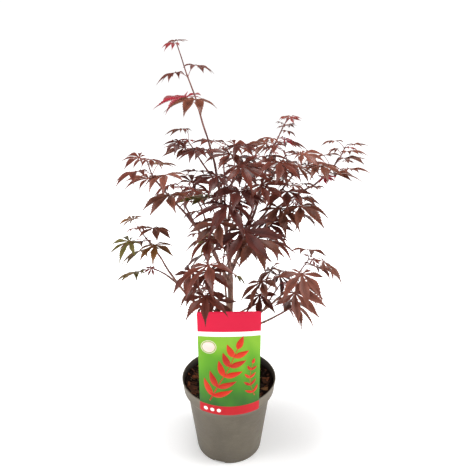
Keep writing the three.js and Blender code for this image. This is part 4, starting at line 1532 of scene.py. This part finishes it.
def makeChipBark(name, colour):
    # pine bark: broken flakes, orange-brown where fresh and grey-brown where weathered
    material, tree, where = newMaterial(name, colour, Roughness=0.85, Specular_IOR_Level=0.2)
    fibre = patches(tree, where, 800.0, 4.0)
    paint(tree, shaded(tree, colour, spanned(tree, fibre, (0.3, 0.7), (0.55, 1.35))), fibre,
          0.8, 0.0008)
    return material


def scattered(random, nearest, reach):
    # a place on the soil, spread evenly over its area
    away = math.sqrt(random.uniform(nearest, 1)) * reach
    turn = random.uniform(0, 2 * math.pi)
    return math.cos(turn) * away, math.sin(turn) * away


def oneChip(random):
    # a cube's corners, pushed about, flattened, turned and laid on the soil
    cube = np.array([(x, y, z) for x in (-1, 1) for y in (-1, 1) for z in (-1, 1)], float) / 2
    length = random.uniform(*soil["chipLength"])
    sizes = np.array([length, length * random.uniform(*soil["chipShares"]),
                      random.uniform(*soil["chipThick"])])
    x, y = scattered(random, soil["chipNearest"], soil["chipReach"] - length / 2)
    ragged, leaning = soil["chipRagged"], soil["chipLean"]
    shape = (cube + random.uniform(-ragged, ragged, cube.shape)) * sizes
    yaw = random.uniform(*soil["headings"])
    tilt, bank = random.normal(0, leaning), random.normal(0, leaning)
    spin = np.array([[math.cos(yaw), -math.sin(yaw), 0], [math.sin(yaw), math.cos(yaw), 0],
                     [0, 0, 1]])
    lean = np.array([[1, 0, tilt], [0, 1, bank], [-tilt, -bank, 1]])
    place = np.array([x, y, soilHeight(x, y) + sizes[2] * soil["chipSunk"]])
    shape = shape @ lean.T @ spin.T + place
    shape[:, 2] += soilLevel(shape[:, 0], shape[:, 1]) - soilLevel(x, y)
    return shape


def makeChips(random):
    faces = np.array([(0, 1, 3), (0, 3, 2), (4, 6, 7), (4, 7, 5), (0, 4, 5), (0, 5, 1),
                      (2, 3, 7), (2, 7, 6), (0, 2, 6), (0, 6, 4), (1, 5, 7), (1, 7, 3)])
    points, triangles, tones = [], [], []
    for i in range(soil["chips"]):
        points.append(oneChip(random))
        triangles.append(faces + i * 8)
        tone = random.choice(len(chipTones), p=[share for name, colour, share in chipTones])
        tones += [int(tone)] * len(faces)
    materials = [makeChipBark(name, colour) for name, colour, share in chipTones]
    chips = meshFromArrays("barkChips", np.vstack(points), np.vstack(triangles), materials,
                           tones, smoothAngle=20)
    finishPiece(chips, "soil")
    print("soil made,", len(points), "chips")


def makeFibres(random):
    # coarse plant fibres: pale straw threads lying across the chips
    straw, tree, where = newMaterial("coirFibre", "#a98a5e", Roughness=0.8)
    paint(tree, ramped(tree, patches(tree, where, 120.0), [(0.35, "#6d5033"), (0.65, "#c0a377")]))
    lift, wave, pace = soil["fibreRise"]
    tubes = []
    for i in range(soil["fibres"]):
        x, y = scattered(random, soil["fibreNearest"], soil["fibreReach"])
        heading = random.uniform(*soil["headings"])
        way = []
        for k in range(soil["fibreSteps"]):
            way.append((x, y, soilHeight(x, y) + lift + wave * math.sin(k * pace + i)))
            heading += random.normal(0, soil["fibreBend"])
            x += math.cos(heading) * soil["fibreStep"]
            y += math.sin(heading) * soil["fibreStep"]
            if math.hypot(x, y) > soil["fibreEnd"]:
                break
        if len(way) > 2:
            way = smoothWay(way, soil["fibreSmooth"])
            radii = np.full(len(way), soil["fibreRadius"])
            tubes.append(sweepTube(way, radii, soil["fibreSides"]))
    finishPiece(joinTubes("soilFibres", tubes, straw), "soil")
    print(len(tubes), "fibres")


makeSoil()
litter = np.random.default_rng(soil["seed"])
makeChips(litter)
makeFibres(litter)


# Care card: a printed plastic plate bent round the pot, hooked over the rim by its tongue

card = {
    "width": 100, "bottom": 130, "height": 196, "thickness": 0.8, "middle": 2,
    "flatFrom": 150, "across": 6, "corner": 3, "columns": 25, "rows": 49, "cutEdge": 0.15,
    "wall": 2, "potTop": 148,
    "tongueWidth": 17, "tongueDepth": 8, "tongueRise": 8.35, "tongueThick": 0.7,
    "tongueBend": 1.6, "tongueEdge": 0.12, "tongueTuck": 0.25, "wallLean": 0.114,
    "overRim": 0.75, "endRise": 0.3, "behindWall": 1.3, "tongueColumns": 4, "bendSteps": 6,
    "inkLift": 0.03, "inkThick": 0.06,
    # heights of the printed bands
    "headerFrom": 290, "stripFrom": 281, "bandTop": 147,
    # a sprig: its stem from foot to tip, pairs of leaflets, their first and last length, half
    # width, and half the stem's thickness
    "sprigs": [([(-33, 156), (-17, 192), (-1, 222), (13, 258)], 5, (38, 26), 5.4, 1.1),
               ([(42, 162), (35, 186), (34, 208), (38, 228)], 4, (17, 11), 2.6, 0.6)],
    # how far leaflets spread and bend, where the first stands, and the power curve of their width
    "leafletSpread": 52, "leafletBend": 16, "leafletStart": 0.6, "leafletSteps": 12,
    "leafletCurve": (0.72, 0.9), "leafletTip": 0.02,
    "medallion": (-33, 262), "medallionRings": [(0.01, 10), (11.4, 12.4)],
    "discs": [(-40, 138.5), (-29, 138.5), (-18, 138.5)], "discRadius": 3.4,
    "discMiddle": 0.01, "discTurns": 41, "discRings": 5, "stemStep": 4,
    # film points closer than this are one, in metres
    "weld": 0.000005,
}


def cardReach():
    # how far from the pot's axis the bent sheet's middle lies
    dip = (card["width"] / card["across"]) ** 2 / (8 * growth["potRim"])
    return growth["potRim"] + growth["gap"] + dip + card["thickness"] / 2


def turnedPlace(x, y, z):
    turn = math.asin(card["middle"] / growth["potRim"])
    return math.cos(turn) * x - math.sin(turn) * y, math.sin(turn) * x + math.cos(turn) * y, z


def onCard(x, z, lift=0):
    # the card's surface: flat at its top, and bent round the rim below
    nearest = cardReach()
    top = card["bottom"] + card["height"]
    flat = min(1, max(0, (z - card["flatFrom"]) / (top - card["flatFrom"])))
    sagitta = nearest - math.sqrt(nearest * nearest - x * x)
    lift *= math.hypot(1, x / (nearest - sagitta) * (1 - flat))
    return turnedPlace(x, sagitta * (1 - flat) - nearest - lift, z)


def makeCardPlastic():
    # printed polypropylene sheet: smooth, semi-gloss, with the ink under a thin varnish
    material, tree, where = newMaterial(
        "printedCardPlastic", "#448820", Roughness=0.4, Specular_IOR_Level=0.15,
        Coat_Weight=0.05, Coat_Roughness=0.3)
    place = addNode(tree, "ShaderNodeUVMap", uv_map="print").outputs[0]
    height = axisOf(tree, place, "Y")
    band, strip, header = ((card[name] - card["bottom"]) / card["height"]
                           for name in ("bandTop", "stripFrom", "headerFrom"))
    # soft out-of-focus garden green: brighter and yellower above, darker below
    shift = maths(tree, "MULTIPLY_ADD", patches(tree, place, 3.2, 1.0), 0.55, height)
    field = ramped(tree, shift, [(0.3, "#28571d"), (0.55, "#3f7d1b"), (0.8, "#5b991e"),
                                 (1.0, "#7daf2c")])
    bands = ramped(tree, height, [(0.0, "#b4141f"), (band, "#000000"), (strip, "#f7f6f1"),
                                  (header, "#cd0a38")], "CONSTANT")
    isField = ramped(tree, height, [(0.0, "#000000"), (band, "#ffffff"), (strip, "#000000")],
                     "CONSTANT")
    paint(tree, painted(tree, isField, bands, field), patches(tree, where, 900.0, 1.0),
          0.08, 0.0002)
    return material


def finishSheet(sheet, thickness, edge, material):
    addModifier(sheet, "SOLIDIFY", thickness=thickness / 1000, offset=0)
    addModifier(sheet, "BEVEL", width=edge / 1000, segments=2, limit_method="ANGLE")
    applyModifiers(sheet)
    setMaterial(sheet, material)
    settle(sheet)


def makeCard():
    deselectAll()
    bpy.ops.mesh.primitive_grid_add(x_subdivisions=card["columns"], y_subdivisions=card["rows"],
                                    size=1, calc_uvs=True)
    plate = bpy.context.object
    plate.name = "careCard"
    plate.data.uv_layers[0].name = "print"
    for vertex in plate.data.vertices:
        vertex.co.x *= card["width"] / 1000
        vertex.co.y *= card["height"] / 1000
    bpy.ops.object.mode_set(mode="EDIT")
    bpy.ops.mesh.select_all(action="DESELECT")
    shape = bmesh.from_edit_mesh(plate.data)
    for vertex in shape.verts:
        vertex.select_set(abs(vertex.co.x) > card["width"] / 2001
                          and abs(vertex.co.y) > card["height"] / 2001)
    shape.select_flush(False)
    bmesh.update_edit_mesh(plate.data)
    bpy.ops.mesh.bevel(offset=card["corner"] / 1000, segments=5, affect="VERTICES")
    bpy.ops.object.mode_set(mode="OBJECT")
    # printed from the outline before bending, so that the print lies flat on the sheet
    middle = card["bottom"] + card["height"] / 2
    layer = plate.data.uv_layers["print"].data
    for loop in plate.data.loops:
        flat = plate.data.vertices[loop.vertex_index].co
        layer[loop.index].uv = (flat.x * 1000 / card["width"] + 0.5,
                                flat.y * 1000 / card["height"] + 0.5)
    for vertex in plate.data.vertices:
        vertex.co = Vector(onCard(vertex.co.x * 1000, vertex.co.y * 1000 + middle)) / 1000
    finishSheet(plate, card["thickness"], card["cutEdge"], makeCardPlastic())
    finishPiece(plate, "card", "card")


def makeTongue():
    # the same sheet, unprinted on this side: a strip bent over the rim
    rim, top, depth = growth["potRim"], card["potTop"], card["tongueDepth"]
    inner = card["wall"] + growth["gap"] + card["behindWall"] - rim
    front = np.array([-cardReach(), top + card["tongueRise"]])
    over = np.array([inner, top + card["overRim"]])
    end = np.array([inner + depth * card["wallLean"], top + card["endRise"] - depth])
    line = [front, *bentLine(over + unit(front - over) * card["tongueBend"], over,
                             over + unit(end - over) * card["tongueBend"],
                             card["bendSteps"]), end]
    deselectAll()
    bpy.ops.mesh.primitive_grid_add(x_subdivisions=card["tongueColumns"],
                                    y_subdivisions=len(line) - 1, size=1)
    strip = bpy.context.object
    strip.name = "cardTongue"
    for vertex in strip.data.vertices:
        row = round((0.5 - vertex.co.y) * (len(line) - 1))
        y, z = line[row]
        x = vertex.co.x * card["tongueWidth"]
        if row == 0:
            # the front end follows the card's curve
            y += x * x / (2 * rim) + card["tongueTuck"]
        vertex.co = Vector(turnedPlace(x, y, z)) / 1000
    sheet, tree, where = newMaterial("bareCardPlastic", "#eceae2", Roughness=0.4)
    paint(tree, ramped(tree, patches(tree, where, 140.0, 3.0),
                       [(0.3, "#e2e0d8"), (0.7, "#f1efe8")]))
    finishSheet(strip, card["tongueThick"], card["tongueEdge"], sheet)
    finishPiece(strip, "card")


def makeInk(name, colour, second):
    # printing ink: even film with a slight shade from one end of a shape to the other
    ink, tree, where = newMaterial(name, colour, Roughness=0.34, Specular_IOR_Level=0.15)
    paint(tree, ramped(tree, patches(tree, where, 45.0, 1.0), [(0.35, colour), (0.65, second)]))
    return ink


def inkPiece(name, shapes, materials):
    # flat shapes laid on the card as a film of ink, each of rows of points in card measures
    points, faces, tones = [], [], []
    lift = card["thickness"] / 2 + card["inkLift"]
    for rows, tone in shapes:
        start, wide = len(points), len(rows[0])
        points += [onCard(x, z, lift) for row in rows for x, z in row]
        for i in range(len(rows) - 1):
            for k in range(wide - 1):
                a = start + i * wide + k
                faces += [(a, a + 1, a + wide + 1), (a, a + wide + 1, a + wide)]
                tones += [tone, tone]
    piece = meshFromArrays(name, points, faces, materials, tones)
    useOnly(piece)
    bpy.ops.object.mode_set(mode="EDIT")
    bpy.ops.mesh.select_all(action="SELECT")
    bpy.ops.mesh.remove_doubles(threshold=card["weld"])
    bpy.ops.object.mode_set(mode="OBJECT")
    addModifier(piece, "SOLIDIFY", thickness=card["inkThick"] / 1000, offset=1)
    applyModifiers(piece)
    finishPiece(piece, "card")


def lanceShape(foot, heading, length, half, bend=0):
    # rows of points for a slim leaflet that is widest a third of the way out
    rows = []
    x, z = foot
    steps = card["leafletSteps"]
    early, full = card["leafletCurve"]
    for i in range(steps + 1):
        t = i / steps
        angle = (heading + bend * t) * degree
        width = half * math.sin(math.pi * t ** early) ** full if 0 < t < 1 else 0
        width = max(width, card["leafletTip"])
        rows.append([(x + math.sin(angle) * width * k, z - math.cos(angle) * width * k)
                     for k in (-1, 0, 1)])
        x += math.cos(angle) * length / steps
        z += math.sin(angle) * length / steps
    return rows


def discShape(centre, inner, outer):
    x, z = centre
    turns = np.linspace(0, 2 * math.pi, card["discTurns"])
    reach = np.linspace(inner, outer, card["discRings"])
    return [[(x + math.cos(a) * r, z + math.sin(a) * r) for a in turns] for r in reach]


def headingOf(step):
    return math.degrees(math.atan2(step[1], step[0]))


def sprigShapes(stem, pairs, lengths, half, thick):
    # a stem with opposite slim leaflets and one at its end
    rows = []
    stem = smoothWay([(x, 0, z) for x, z in stem], card["stemStep"])[:, [0, 2]]
    for i, (x, z) in enumerate(stem):
        ahead = stem[min(i + 1, len(stem) - 1)] - stem[max(i - 1, 0)]
        side = unit(np.array([ahead[1], -ahead[0]])) * mix(thick, thick / 2, i / len(stem))
        rows.append([(x - side[0], z - side[1]), (x, z), (x + side[0], z + side[1])])
    shapes = [(rows, 1)]
    for pair in range(pairs):
        share = (pair + card["leafletStart"]) / pairs
        index = int(share * (len(stem) - 2))
        heading = headingOf(stem[index + 1] - stem[index])
        for side in (-1, 1):
            leaflet = lanceShape(stem[index], heading + side * card["leafletSpread"],
                                 mix(*lengths, share), half, -side * card["leafletBend"])
            shapes.append((leaflet, pair % 2))
    last = headingOf(stem[-1] - stem[-2])
    return shapes + [(lanceShape(stem[-1], last, lengths[1], half), 0)]


def makePrint():
    shapes = [shape for sprig in card["sprigs"] for shape in sprigShapes(*sprig)]
    shapes += [(discShape(card["medallion"], *ring), 2) for ring in card["medallionRings"]]
    shapes += [(discShape(centre, card["discMiddle"], card["discRadius"]), 3)
               for centre in card["discs"]]
    inkPiece("cardPrint", shapes, [
        makeInk("scarletInk", "#c4240f", "#cc3a1c"), makeInk("brickInk", "#ab1d12", "#bb3019"),
        makeInk("blushInk", "#e9c9c0", "#f1dbd2"), makeInk("whiteInk", "#f5f4ef", "#faf9f5")])


makeCard()
makeTongue()
makePrint()
print("card made")
